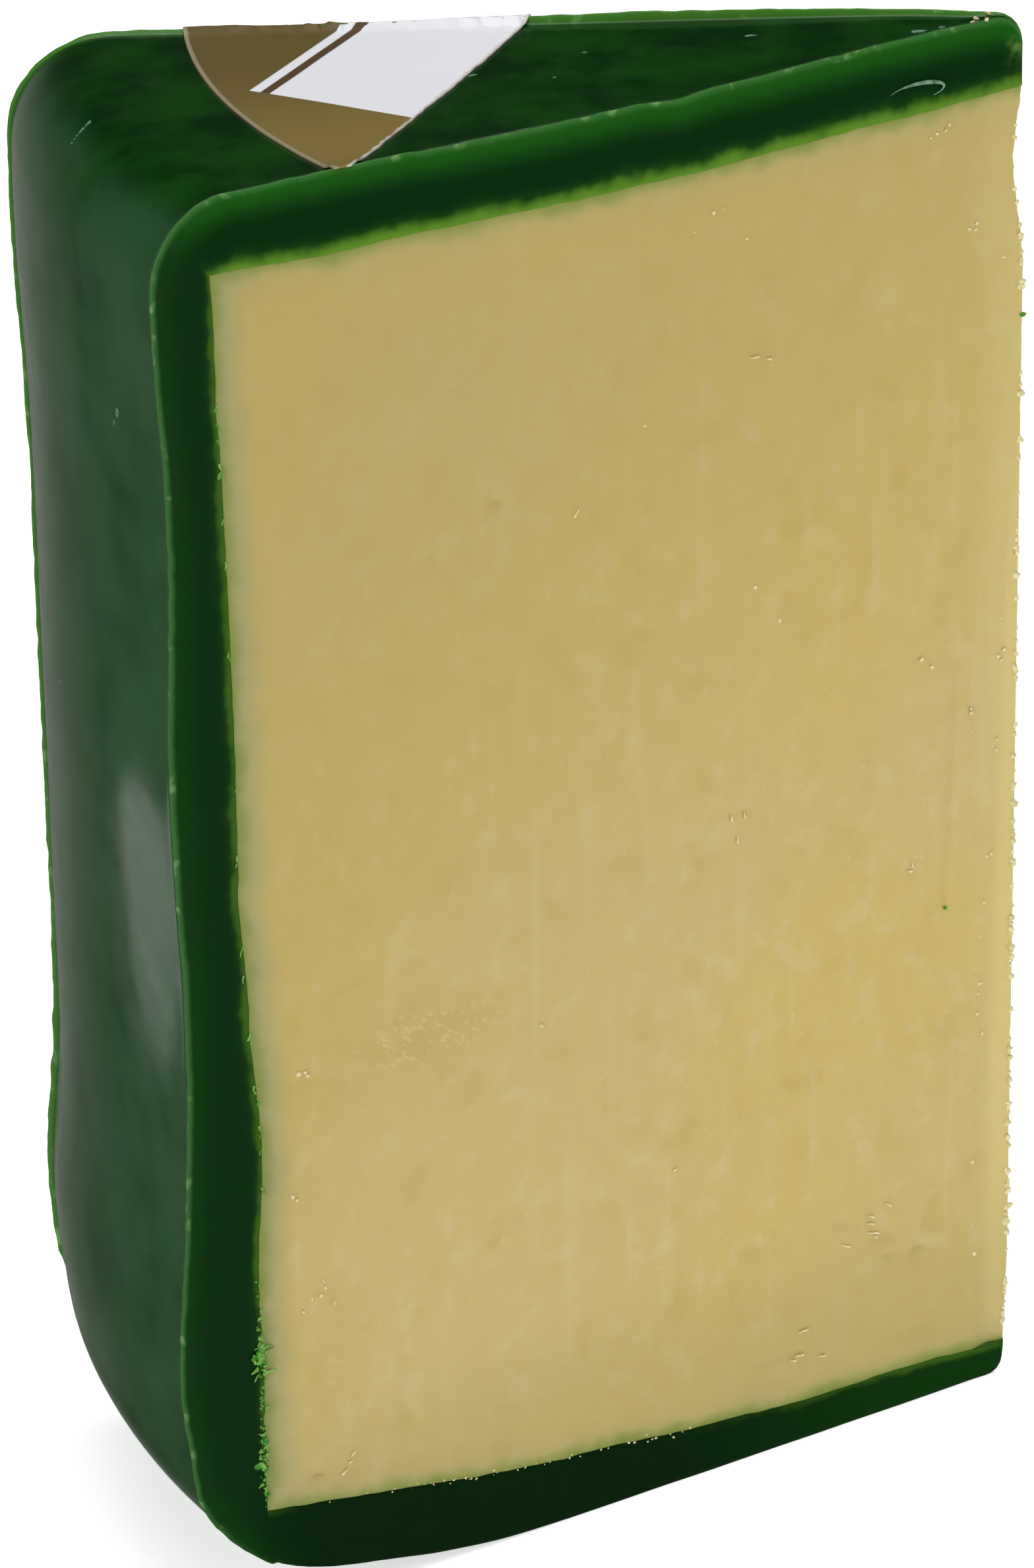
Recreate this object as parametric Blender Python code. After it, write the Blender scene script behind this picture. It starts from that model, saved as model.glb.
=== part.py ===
"""A wedge of waxed cheese: one twelfth of a tall truckle, standing on its base.

The truckle was dipped in thick wax, so the coat is a C in section: it covers the top,
the rim and the base, and both cut faces show the bare cheese inside it. A round paper
label on the top was cut through with the cheese.

The wedge is worked out in polar form about the truckle's own axis. A point is given by
its turn about that axis, its reach out from the axis, and its height above the table.
The tip of the wedge points to +X, the waxed rim to -X.
"""

import math

import bmesh
import bpy
from mathutils import Vector

MM = 0.001

# The truckle
TRUCKLE_HEIGHT = 115.0 * MM
WAIST_RADIUS = 74.2 * MM
WEDGE_TURN = math.radians(30.0)
TIP_TRIM = 0.4 * MM

# The coat of wax: its roundings, and how it pooled as it set. The near cut is the one that looks
# to -Y, and SHOULDER_SWELL_LOST is the share of the shoulder's swell that it lacks.
SHOULDER_ROUND_NEAR = 6.5 * MM
SHOULDER_ROUND_FAR = 8.0 * MM
FOOT_ROUND_IN = 21.5 * MM
FOOT_ROUND_UP = 14.5 * MM
FOOT_FULLNESS = 1.8
TIP_TOP_ROUND = 2.2 * MM
TIP_BASE_ROUND = 1.5 * MM
FOOT_SWELL = 1.1 * MM
FOOT_SWELL_HEIGHT = 21.5 * MM
FOOT_SWELL_SPREAD = 9.0 * MM
SHOULDER_SWELL = 0.9 * MM
SHOULDER_SWELL_HEIGHT = 104.0 * MM
SHOULDER_SWELL_SPREAD = 15.0 * MM
SHOULDER_SWELL_LOST = 0.75
BULGE = 0.35 * MM
BULGE_HEIGHT = 65.0 * MM
BULGE_SPREAD = 35.0 * MM
RIM_RIPPLE = 0.3 * MM
RIM_RIPPLE_LENGTH = 40.0 * MM
RIM_RIPPLE_START = 61.0 * MM
TOP_SAG = 0.8 * MM
TOP_SAG_REACH = 29.0 * MM
TOP_SAG_SPREAD = 24.0 * MM
TIP_SAG = 0.5 * MM
TIP_SAG_SPREAD = 9.0 * MM

# The cheese inside the coat
CHEESE_RADIUS_TOP = 70.35 * MM
CHEESE_RADIUS_BASE = 68.55 * MM
CHEESE_TOP_LOWEST = 108.4 * MM
CHEESE_TOP_LOWEST_REACH = 30.0 * MM
CHEESE_TOP_DISH = 0.9 * MM
CHEESE_BASE_AT_TIP = 3.05 * MM
CHEESE_BASE_RISE = 6.8 * MM
TIP_DENT = 1.1 * MM
TIP_DENT_HEIGHT = 102.0 * MM
TIP_DENT_SPREAD = 4.5 * MM

# The paper label, as a disc with one straight side, measured from the truckle's axis
LABEL_RADIUS = 55.0 * MM
LABEL_CENTRE = (-6.2 * MM, 4.0 * MM)
LABEL_STRAIGHT_SIDE_REACH = 32.9 * MM
LABEL_STRAIGHT_SIDE_TURN = math.radians(-40.6)
LABEL_THICKNESS = 0.25 * MM

# Clearance between pieces that touch
GAP = 0.3 * MM

# How finely the shapes are divided
TURN_STEPS = 12
ARC_STEPS = 8
FLAT_STEPS = 12
WALL_STEPS = 18
LABEL_SIDES = 240

# The widest reach of the foot's swell and the trimmed tip set the middle of the wedge
AXIS_X = (WAIST_RADIUS + FOOT_SWELL + TIP_TRIM) / 2


def remove_everything():
    for thing in list(bpy.data.objects):
        bpy.data.objects.remove(thing, do_unlink=True)


def bell(value, middle, spread):
    """A smooth hump of height 1 at the middle."""
    return math.exp(-(((value - middle) / spread) ** 2))


def nearness(turn):
    """1 on the cut face that looks to -Y, 0 on the one that looks to +Y."""
    return 0.5 - turn / WEDGE_TURN


def rim_reach(turn, height):
    """From the truckle's axis to the outside of the wax: a waist, a fuller shoulder and foot."""
    near = nearness(turn)
    foot = FOOT_SWELL * bell(height, FOOT_SWELL_HEIGHT, FOOT_SWELL_SPREAD)
    shoulder = SHOULDER_SWELL * bell(height, SHOULDER_SWELL_HEIGHT, SHOULDER_SWELL_SPREAD)
    shoulder *= 1.0 - SHOULDER_SWELL_LOST * near
    bulge = BULGE * bell(height, BULGE_HEIGHT, BULGE_SPREAD) * (1.0 - near)
    wave = math.sin(2 * math.pi * (height - RIM_RIPPLE_START) / RIM_RIPPLE_LENGTH)
    return WAIST_RADIUS + foot + shoulder + bulge + RIM_RIPPLE * wave * near


def top_height(turn, reach):
    """The top of the wax, which the knife pressed down along the cut to -Y and at the tip."""
    along_cut = TOP_SAG * nearness(turn) * bell(reach, TOP_SAG_REACH, TOP_SAG_SPREAD)
    return TRUCKLE_HEIGHT - along_cut - TIP_SAG * bell(reach, 0.0, TIP_SAG_SPREAD)


def shoulder_round(turn):
    return SHOULDER_ROUND_FAR + (SHOULDER_ROUND_NEAR - SHOULDER_ROUND_FAR) * nearness(turn)


def cheese_rim_reach(height):
    """The cheese settled as it ripened, so its rim flares a little faster towards the top."""
    share = height / TRUCKLE_HEIGHT
    return CHEESE_RADIUS_BASE + (CHEESE_RADIUS_TOP - CHEESE_RADIUS_BASE) * share**2


def cheese_top_height(reach):
    away = (reach - CHEESE_TOP_LOWEST_REACH) / (CHEESE_RADIUS_TOP - CHEESE_TOP_LOWEST_REACH)
    return CHEESE_TOP_LOWEST + CHEESE_TOP_DISH * away**2


def cheese_base_height(reach):
    return CHEESE_BASE_AT_TIP + CHEESE_BASE_RISE * (reach / CHEESE_RADIUS_BASE) ** 2


def tip_reach(height):
    """The knife's two cuts meet here, with a shallow bite out of the edge near the top."""
    return TIP_TRIM + TIP_DENT * bell(height, TIP_DENT_HEIGHT, TIP_DENT_SPREAD)


def shares(steps):
    """0 to 1 in equal steps, both ends included."""
    return [step / steps for step in range(steps + 1)]


def bowed(value, fullness):
    """A sine or cosine as it is at a fullness of 2, and drawn towards a straight line below it."""
    return math.copysign(abs(value) ** (2.0 / fullness), value)


def quarter(centre, radii, start_degrees, fullness=2.0):
    """Points of a quarter of an ellipse, counter-clockwise from the start."""
    points = []
    for share in shares(ARC_STEPS):
        angle = math.radians(start_degrees + 90.0 * share)
        across = radii[0] * bowed(math.cos(angle), fullness)
        up = radii[1] * bowed(math.sin(angle), fullness)
        points.append((centre[0] + across, centre[1] + up))
    return points


def wax_outside(turn):
    """The outside of the coat in section, from the tip's foot round the rim to the tip's top."""
    foot_reach = rim_reach(turn, FOOT_ROUND_UP)
    rounding = shoulder_round(turn)
    shoulder_height = TRUCKLE_HEIGHT - rounding
    shoulder_reach = rim_reach(turn, shoulder_height)
    tip_foot = quarter(
        (TIP_TRIM + TIP_BASE_ROUND, TIP_BASE_ROUND), (TIP_BASE_ROUND, TIP_BASE_ROUND), 180.0
    )
    foot_centre = (foot_reach - FOOT_ROUND_IN, FOOT_ROUND_UP)
    foot = quarter(foot_centre, (FOOT_ROUND_IN, FOOT_ROUND_UP), 270.0, FOOT_FULLNESS)
    wall = []
    for share in shares(WALL_STEPS)[1:-1]:
        height = FOOT_ROUND_UP + (shoulder_height - FOOT_ROUND_UP) * share
        wall.append((rim_reach(turn, height), height))
    edge_of_top = shoulder_reach - rounding
    drop = TRUCKLE_HEIGHT - top_height(turn, edge_of_top)
    shoulder = quarter((edge_of_top, shoulder_height), (rounding, rounding - drop), 0.0)
    tip_round_reach = TIP_TRIM + TIP_TOP_ROUND
    top = []
    for share in shares(FLAT_STEPS)[1:-1]:
        reach = edge_of_top + (tip_round_reach - edge_of_top) * share
        top.append((reach, top_height(turn, reach)))
    tip_drop = TRUCKLE_HEIGHT - top_height(turn, tip_round_reach)
    tip_top = quarter(
        (tip_round_reach, TRUCKLE_HEIGHT - TIP_TOP_ROUND),
        (TIP_TOP_ROUND, TIP_TOP_ROUND - tip_drop),
        90.0,
    )
    return tip_foot + foot + wall + shoulder + top + tip_top


def cheese_outside(margin):
    """The cheese in section, grown by a margin, from the tip's top round the rim to its foot."""
    rim_top = CHEESE_RADIUS_TOP + margin
    rim_base = CHEESE_RADIUS_BASE + margin
    points = []
    for share in shares(FLAT_STEPS):
        reach = TIP_TRIM + (rim_top - TIP_TRIM) * share
        points.append((reach, cheese_top_height(reach) + margin))
    highest = cheese_top_height(rim_top) + margin
    lowest = cheese_base_height(rim_base) - margin
    for share in shares(WALL_STEPS)[1:-1]:
        height = highest + (lowest - highest) * share
        points.append((cheese_rim_reach(height) + margin, height))
    for share in shares(FLAT_STEPS):
        reach = rim_base + (TIP_TRIM - rim_base) * share
        points.append((reach, cheese_base_height(reach) - margin))
    return points


def wax_section(turn):
    """The C of the coat: its outside, then back along the hollow that the cheese fills."""
    return wax_outside(turn) + cheese_outside(GAP)


def cheese_section(_turn):
    """The cheese itself, closed by the edge where the two cuts meet."""
    around = cheese_outside(0.0)
    lowest = around[-1][1]
    highest = around[0][1]
    tip = []
    for share in shares(WALL_STEPS)[1:-1]:
        height = lowest + (highest - lowest) * share
        tip.append((tip_reach(height), height))
    return [(max(reach, TIP_TRIM), height) for reach, height in around] + tip


def in_space(turn, reach, height):
    """A polar point about the truckle's axis. The rim lies to -X, and turns grow towards +Y."""
    return Vector((-reach * math.cos(turn), reach * math.sin(turn), height))


def swept(name, section):
    """Sweeps a closed section from one cut face to the other, and closes both faces."""
    shape = bmesh.new()
    rings = []
    for share in shares(TURN_STEPS):
        turn = WEDGE_TURN * (share - 0.5)
        rings.append([shape.verts.new(in_space(turn, *point)) for point in section(turn)])
    count = len(rings[0])
    for ring, following in zip(rings, rings[1:]):
        for here in range(count):
            after = (here + 1) % count
            shape.faces.new((ring[here], ring[after], following[after], following[here]))
    caps = [shape.faces.new(rings[0]), shape.faces.new(rings[-1])]
    shape.normal_update()
    bmesh.ops.triangulate(shape, faces=caps)
    bmesh.ops.recalc_face_normals(shape, faces=shape.faces[:])
    return finished(name, shape)


def finished(name, shape):
    """Turns a bmesh into an object, smooth where it is round and sharp along the cuts."""
    mesh = bpy.data.meshes.new(name)
    shape.to_mesh(mesh)
    shape.free()
    mesh.shade_smooth()
    mesh.set_sharp_from_angle(angle=math.radians(35.0))
    made = bpy.data.objects.new(name, mesh)
    bpy.context.scene.collection.objects.link(made)
    return made


def keep_one_side(shape, point, outwards):
    """Cuts a flat sheet along a plane and drops what lies on the outward side."""
    everything = shape.verts[:] + shape.edges[:] + shape.faces[:]
    bmesh.ops.bisect_plane(
        shape, geom=everything, dist=1e-7, plane_co=point, plane_no=outwards, clear_outer=True
    )


def cut_label(name):
    """A paper disc with one straight side, cut off along both faces of the wedge."""
    shape = bmesh.new()
    bmesh.ops.create_circle(shape, cap_ends=True, radius=LABEL_RADIUS, segments=LABEL_SIDES)
    bmesh.ops.translate(shape, verts=shape.verts[:], vec=(*LABEL_CENTRE, 0.0))
    half = WEDGE_TURN / 2
    keep_one_side(shape, (0, 0, 0), (math.sin(half), -math.cos(half), 0))
    keep_one_side(shape, (0, 0, 0), (math.sin(half), math.cos(half), 0))
    towards_tip = Vector((math.cos(LABEL_STRAIGHT_SIDE_TURN), math.sin(LABEL_STRAIGHT_SIDE_TURN), 0))
    keep_one_side(shape, -towards_tip * LABEL_STRAIGHT_SIDE_REACH, towards_tip)
    sheet = bmesh.ops.extrude_face_region(shape, geom=shape.faces[:])
    raised = [part for part in sheet["geom"] if isinstance(part, bmesh.types.BMVert)]
    bmesh.ops.translate(shape, verts=raised, vec=(0, 0, LABEL_THICKNESS))
    bmesh.ops.recalc_face_normals(shape, faces=shape.faces[:])
    return finished(name, shape)


def material(name, colour, roughness):
    """A plain Principled finish. No part of a wedge of cheese is metal."""
    made = bpy.data.materials.new(name)
    made.use_nodes = True
    shader = made.node_tree.nodes["Principled BSDF"]
    shader.inputs["Base Color"].default_value = (*colour, 1.0)
    shader.inputs["Roughness"].default_value = roughness
    shader.inputs["Metallic"].default_value = 0.0
    return made


def placed(made, parent, height, finish):
    """Hangs a piece on the truckle's axis at a height, with its finish."""
    made.parent = parent
    made.location = (0, 0, height)
    made.data.materials.append(finish)
    return made


def build():
    remove_everything()
    axis = bpy.data.objects.new("truckle_axis", None)
    axis.location = (AXIS_X, 0, 0)
    bpy.context.scene.collection.objects.link(axis)

    pale_cheese = material("pale_cheese", (0.56, 0.45, 0.19), 0.45)
    green_wax = material("green_wax", (0.010, 0.055, 0.012), 0.35)
    gold_paper = material("gold_paper", (0.17, 0.12, 0.035), 0.5)

    placed(swept("cheese", cheese_section), axis, 0.0, pale_cheese)
    placed(swept("wax_coat", wax_section), axis, 0.0, green_wax)
    placed(cut_label("top_label"), axis, TRUCKLE_HEIGHT + GAP, gold_paper)


build()
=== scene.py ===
# %% [markdown]
# # Dressing a wedge of waxed cheese
#
# The wedge is a twelfth of a tall round truckle. The truckle was dipped in thick green wax and
# given a round paper label, and then a knife went down through all of it, twice. The frame holds
# the three plain solids: the cheese, the coat of wax and the label. This notebook gives each one
# its real surface: a soft cut face with knife marks, a coat that pooled as it set and glows where
# it is thin, with a painted glow and painted highlights along its cut edges, and a paper label
# that lies on it.

# %% Load the frame
import math
import random

import bpy
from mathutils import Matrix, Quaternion, Vector, noise


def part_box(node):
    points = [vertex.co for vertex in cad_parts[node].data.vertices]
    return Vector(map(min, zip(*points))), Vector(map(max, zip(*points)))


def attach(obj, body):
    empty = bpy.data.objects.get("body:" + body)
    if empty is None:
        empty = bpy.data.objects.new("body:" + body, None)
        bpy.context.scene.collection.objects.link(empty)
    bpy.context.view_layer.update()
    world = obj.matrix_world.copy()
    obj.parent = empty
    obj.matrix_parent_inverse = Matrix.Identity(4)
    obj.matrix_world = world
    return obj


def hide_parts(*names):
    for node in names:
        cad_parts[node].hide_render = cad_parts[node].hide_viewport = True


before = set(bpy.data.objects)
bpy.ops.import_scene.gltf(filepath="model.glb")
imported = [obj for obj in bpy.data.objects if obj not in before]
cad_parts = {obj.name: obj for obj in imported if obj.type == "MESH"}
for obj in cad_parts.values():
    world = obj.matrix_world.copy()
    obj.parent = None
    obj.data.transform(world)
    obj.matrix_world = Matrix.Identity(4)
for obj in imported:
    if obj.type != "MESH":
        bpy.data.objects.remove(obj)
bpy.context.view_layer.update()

MM = 0.001
wax_low, wax_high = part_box("wax_coat")
cheese_low, cheese_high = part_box("cheese")
label_low, label_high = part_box("top_label")
print("frame nodes:", sorted(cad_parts))
print("wax coat, mm:", [round(side / MM, 1) for side in wax_high - wax_low])

# %% [markdown]
# ## A wedge in polar measures
#
# Everything on a truckle is round about one upright axis, so each point is easiest to give by
# its turn about the axis, its reach out from it, and its height. The knife's two cuts are at a
# turn of -15 and +15 degrees, and they would meet on the axis, had the very tip not broken off.
# All lengths below are in millimetres, and one function turns a polar point into the frame's
# metres. Where the axis stands is worked out from the frame: the tip is its furthest point in +X.

# %% Polar measures
HALF_TURN = math.radians(15.0)
TIP_TRIM = 0.4
AXIS_X = wax_high.x / MM + TIP_TRIM * math.cos(HALF_TURN)
TRUCKLE_HEIGHT = wax_high.z / MM


def in_frame(turn, reach, height):
    """A polar point in millimetres as a point of the frame in metres. The rim lies to -X."""
    return Vector((AXIS_X - reach * math.cos(turn), reach * math.sin(turn), height)) * MM


def bell(value, middle, spread):
    """A smooth hump of height 1 at the middle."""
    return math.exp(-(((value - middle) / spread) ** 2))


def rise(value, start, end):
    """0 before the start, 1 past the end, and a smooth climb between."""
    share = min(max((value - start) / (end - start), 0.0), 1.0)
    return share * share * (3.0 - 2.0 * share)


def fall(value, start, end):
    """1 before the start, 0 past the end, and a smooth drop between."""
    return 1.0 - rise(value, start, end)


def rough(x, y, z=0.0):
    """Smooth noise from about -1 to 1, the same each time."""
    return noise.noise(Vector((x, y, z)))


def nearness(turn):
    """1 on the cut that looks to -Y, 0 on the one that looks to +Y."""
    return 0.5 - turn / (2.0 * HALF_TURN)


print("the truckle's axis stands at x =", round(AXIS_X, 2), "mm")

# %% [markdown]
# ## The outline of the coat and of the cheese
#
# These repeat the solids of the frame: a waist with a fuller foot and shoulder, a corner rolled
# over at the top, and a wide round foot where hot wax ran down and pooled. The seam between wax
# and cheese strays by a few tenths of a millimetre, as the cheese had a cloth's uneven print
# before it was dipped. Both pieces follow the same seam, so no gap opens between them.

# %% The outlines
WAIST_RADIUS = 74.2
FOOT_SWELL, FOOT_SWELL_HEIGHT, FOOT_SWELL_SPREAD = 1.1, 21.5, 9.0
SHOULDER_SWELL, SHOULDER_SWELL_HEIGHT, SHOULDER_SWELL_SPREAD = 0.9, 104.0, 15.0
SHOULDER_SWELL_LOST = 0.75
BULGE, BULGE_HEIGHT, BULGE_SPREAD = 0.35, 65.0, 35.0
RIM_RIPPLE, RIM_RIPPLE_LENGTH, RIM_RIPPLE_START = 0.3, 40.0, 61.0
SHOULDER_ROUND_NEAR, SHOULDER_ROUND_FAR = 6.5, 8.0
FOOT_ROUND_IN, FOOT_ROUND_UP, FOOT_FULLNESS = 21.5, 14.5, 1.8
TIP_TOP_ROUND, TIP_BASE_ROUND = 2.2, 1.5
TOP_SAG, TOP_SAG_REACH, TOP_SAG_SPREAD = 0.8, 29.0, 24.0
TIP_SAG, TIP_SAG_SPREAD = 0.5, 9.0
CHEESE_RADIUS_TOP, CHEESE_RADIUS_BASE = 70.35, 68.55
CHEESE_TOP_LOWEST, CHEESE_TOP_LOWEST_REACH, CHEESE_TOP_DISH = 108.4, 30.0, 0.9
CHEESE_BASE_AT_TIP, CHEESE_BASE_RISE = 3.05, 6.8


def rim_reach(turn, height):
    near = nearness(turn)
    foot = FOOT_SWELL * bell(height, FOOT_SWELL_HEIGHT, FOOT_SWELL_SPREAD)
    shoulder = SHOULDER_SWELL * bell(height, SHOULDER_SWELL_HEIGHT, SHOULDER_SWELL_SPREAD)
    shoulder *= 1.0 - SHOULDER_SWELL_LOST * near
    bulge = BULGE * bell(height, BULGE_HEIGHT, BULGE_SPREAD) * (1.0 - near)
    wave = math.sin(2 * math.pi * (height - RIM_RIPPLE_START) / RIM_RIPPLE_LENGTH)
    return WAIST_RADIUS + foot + shoulder + bulge + RIM_RIPPLE * wave * near


def top_height(turn, reach):
    along_cut = TOP_SAG * nearness(turn) * bell(reach, TOP_SAG_REACH, TOP_SAG_SPREAD)
    return TRUCKLE_HEIGHT - along_cut - TIP_SAG * bell(reach, 0.0, TIP_SAG_SPREAD)


def shoulder_round(turn):
    return SHOULDER_ROUND_FAR + (SHOULDER_ROUND_NEAR - SHOULDER_ROUND_FAR) * nearness(turn)


def stray(along, turn, seed):
    """How far the seam strays from its clean line, in slow waves and in fine nicks."""
    across = turn * 14.0
    waves = 0.24 * rough(along / 8.0, across, seed)
    return waves + 0.09 * rough(along / 1.6, across * 4.0, seed + 7.0)


def seam_top(turn, reach):
    away = (reach - CHEESE_TOP_LOWEST_REACH) / (CHEESE_RADIUS_TOP - CHEESE_TOP_LOWEST_REACH)
    return CHEESE_TOP_LOWEST + CHEESE_TOP_DISH * away**2 + stray(reach, turn, 1.0)


def seam_base(turn, reach):
    clean = CHEESE_BASE_AT_TIP + CHEESE_BASE_RISE * (reach / CHEESE_RADIUS_BASE) ** 2
    return clean - 0.25 * bell(reach, 2.0, 4.0) + 1.4 * stray(reach, turn, 2.0)


def seam_rim(turn, height):
    share = height / TRUCKLE_HEIGHT
    clean = CHEESE_RADIUS_BASE + (CHEESE_RADIUS_TOP - CHEESE_RADIUS_BASE) * share**2
    knee = 0.17 * bell(height, 61.0, 6.0) - 0.7 * bell(height, 40.5, 5.0)
    near = nearness(turn)
    torn = 0.22 * rough(height / 0.55, 17.0) * fall(height, 24.0, 32.0) * rise(near, 0.9, 1.0)
    return clean + knee * near + torn + stray(height, turn, 3.0)


def arc(centre, radii, start_degrees, end_degrees, steps=10, fullness=2.0):
    """Points of part of an ellipse, drawn towards a straight line by a fullness below 2."""
    points = []
    for step in range(steps + 1):
        angle = math.radians(start_degrees + (end_degrees - start_degrees) * step / steps)
        across, up = (
            math.copysign(abs(value) ** (2.0 / fullness), value)
            for value in (math.cos(angle), math.sin(angle))
        )
        points.append((centre[0] + radii[0] * across, centre[1] + radii[1] * up))
    return points


def evenly(points, count):
    """The same line as count equal steps, both ends included."""
    lengths = [0.0]
    for here, after in zip(points, points[1:]):
        lengths.append(lengths[-1] + math.dist(here, after))
    even, index = [], 0
    for step in range(count + 1):
        target = lengths[-1] * step / count
        while index < len(points) - 2 and lengths[index + 1] < target:
            index += 1
        span = lengths[index + 1] - lengths[index]
        share = (target - lengths[index]) / span if span else 0.0
        (x, y), (after_x, after_y) = points[index], points[index + 1]
        even.append((x + (after_x - x) * share, y + (after_y - y) * share))
    return even


# %% [markdown]
# ## Measuring the coat from its two sides
#
# In section the coat is a C. It is modelled as a band between two lines that run side by side:
# the outside of the wax, and the seam with the cheese. Each line has three stretches, top, wall
# and base, and matching stretches have the same number of steps, so that rungs laid between the
# two lines stay nearly square to them all the way round the corners.

# %% The two sides of the C
BASE_LIFT, BASE_LIFT_REACH, BASE_LIFT_SPREAD = 1.3, 58.0, 8.0
TOP_STEPS, WALL_STEPS, BASE_STEPS = 116, 186, 116
ALONG_STEPS = TOP_STEPS + WALL_STEPS + BASE_STEPS


def base_lift(turn, reach):
    """The knife came down through the foot and left it standing off the table along the cut."""
    from_near = reach * (turn + HALF_TURN)
    return BASE_LIFT * bell(reach, BASE_LIFT_REACH, BASE_LIFT_SPREAD) * bell(from_near, 0.0, 7.0)


def outside_line(turn):
    """The outside of the coat, from the tip's top round the rim to the tip's base."""
    rounding = shoulder_round(turn)
    shoulder_height = TRUCKLE_HEIGHT - rounding
    top_edge = rim_reach(turn, shoulder_height) - rounding
    foot_edge = rim_reach(turn, FOOT_ROUND_UP) - FOOT_ROUND_IN
    drop = TRUCKLE_HEIGHT - top_height(turn, top_edge)
    shoulder = ((top_edge, shoulder_height), (rounding, rounding - drop))
    foot = ((foot_edge, FOOT_ROUND_UP), (FOOT_ROUND_IN, FOOT_ROUND_UP))
    tip_reach = TIP_TRIM + TIP_TOP_ROUND
    tip_height = top_height(turn, tip_reach) - TIP_TOP_ROUND
    tip_base = TIP_TRIM + TIP_BASE_ROUND
    top = arc((tip_reach, tip_height), (TIP_TOP_ROUND, TIP_TOP_ROUND), 180.0, 90.0)
    for step in range(1, 40):
        reach = tip_reach + (top_edge - tip_reach) * step / 40
        top.append((reach, top_height(turn, reach)))
    top += arc(*shoulder, 90.0, 45.0)
    wall = arc(*shoulder, 45.0, 0.0)
    for step in range(1, 60):
        height = shoulder_height + (FOOT_ROUND_UP - shoulder_height) * step / 60
        wall.append((rim_reach(turn, height), height))
    wall += arc(*foot, 0.0, -45.0, 20, FOOT_FULLNESS)
    base = arc(*foot, -45.0, -90.0, 20, FOOT_FULLNESS)
    flat = base[-1][0]
    base += [(flat + (tip_base - flat) * step / 40, 0.0) for step in range(1, 40)]
    base = [(reach, height + base_lift(turn, reach)) for reach, height in base]
    base += arc((tip_base, TIP_BASE_ROUND), (TIP_BASE_ROUND, TIP_BASE_ROUND), 270.0, 180.0)
    return evenly(top, TOP_STEPS)[:-1] + evenly(wall, WALL_STEPS)[:-1] + evenly(base, BASE_STEPS)


def seam_line(turn):
    """The seam with the cheese, from the tip's top round the rim to the tip's base."""
    rim_top = seam_rim(turn, CHEESE_TOP_LOWEST + CHEESE_TOP_DISH)
    rim_base = seam_rim(turn, CHEESE_BASE_AT_TIP + CHEESE_BASE_RISE)
    top, wall, base = [], [], []
    for step in range(TOP_STEPS):
        reach = TIP_TRIM + (rim_top - TIP_TRIM) * step / TOP_STEPS
        top.append((reach, seam_top(turn, reach)))
    highest, lowest = seam_top(turn, rim_top), seam_base(turn, rim_base)
    for step in range(WALL_STEPS):
        height = highest + (lowest - highest) * step / WALL_STEPS
        wall.append((seam_rim(turn, height), height))
    for step in range(BASE_STEPS + 1):
        reach = rim_base + (TIP_TRIM - rim_base) * step / BASE_STEPS
        base.append((reach, seam_base(turn, reach)))
    return top + wall + base


print("rungs between the two sides of the coat:", len(outside_line(0.0)), len(seam_line(0.0)))

# %% [markdown]
# ## A sheet of squares, spun about the axis
#
# Both the coat and the cheese start the same way: a grid primitive, which is laid on the first
# cut, and spun about the truckle's axis to the second. Spinning keeps clean rows of squares, so
# each vertex can afterwards be put exactly where the outlines want it. To know a vertex again
# after the spin, each one carries its place on the grid as two attributes, which the spin copies.

# %% Spin a grid about the axis


def only(made):
    """Leaves one object selected and active, so that an operator acts on nothing else."""
    bpy.ops.object.select_all(action="DESELECT")
    made.select_set(True)
    bpy.context.view_layer.objects.active = made


def new_grid(columns, rows):
    """A flat grid of squares, one unit across, and nothing else selected."""
    bpy.ops.object.select_all(action="DESELECT")
    bpy.ops.mesh.primitive_grid_add(x_subdivisions=columns, y_subdivisions=rows, size=1.0)
    return bpy.context.active_object


def spun_grid(name, columns, rows, steps):
    """A grid on the first cut, spun to the second, with its place on the grid on every vertex."""
    made = new_grid(columns, rows)
    made.name = name
    mesh = made.data
    column = mesh.attributes.new("column", "FLOAT", "POINT")
    row = mesh.attributes.new("row", "FLOAT", "POINT")
    for vertex in mesh.vertices:
        across, up = vertex.co.x + 0.5, vertex.co.y + 0.5
        column.data[vertex.index].value = across * columns
        row.data[vertex.index].value = up * rows
        vertex.co = in_frame(-HALF_TURN, 5.0 + 60.0 * across, 10.0 + 90.0 * up)
    only(made)
    bpy.ops.object.mode_set(mode="EDIT")
    bpy.ops.mesh.select_all(action="SELECT")
    bpy.ops.mesh.spin(steps=steps, angle=2 * HALF_TURN, center=(AXIS_X * MM, 0, 0), axis=(0, 0, 1))
    bpy.ops.object.mode_set(mode="OBJECT")
    print(name, "has", len(mesh.vertices), "vertices after the spin")
    return made


def grid_places(made, steps):
    """For each vertex, its column, its row, and which step of the spin it belongs to."""
    mesh = made.data
    columns = [round(item.value) for item in mesh.attributes["column"].data]
    rows = [round(item.value) for item in mesh.attributes["row"].data]
    places = []
    for vertex, column, row in zip(mesh.vertices, columns, rows):
        turn = math.atan2(vertex.co.y, AXIS_X * MM - vertex.co.x)
        places.append((column, row, round((turn + HALF_TURN) / (2 * HALF_TURN) * steps)))
    return places


def eased_turn(step, steps, ease):
    """Steps that crowd towards both cuts, where the fine lips are."""
    share = step / steps
    return HALF_TURN * (2.0 * (share - ease * math.sin(2 * math.pi * share)) - 1.0)


def note(readings, **values):
    """Adds what was measured at one vertex to the lists of readings."""
    for name, value in values.items():
        readings.setdefault(name, []).append(value)


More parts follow.
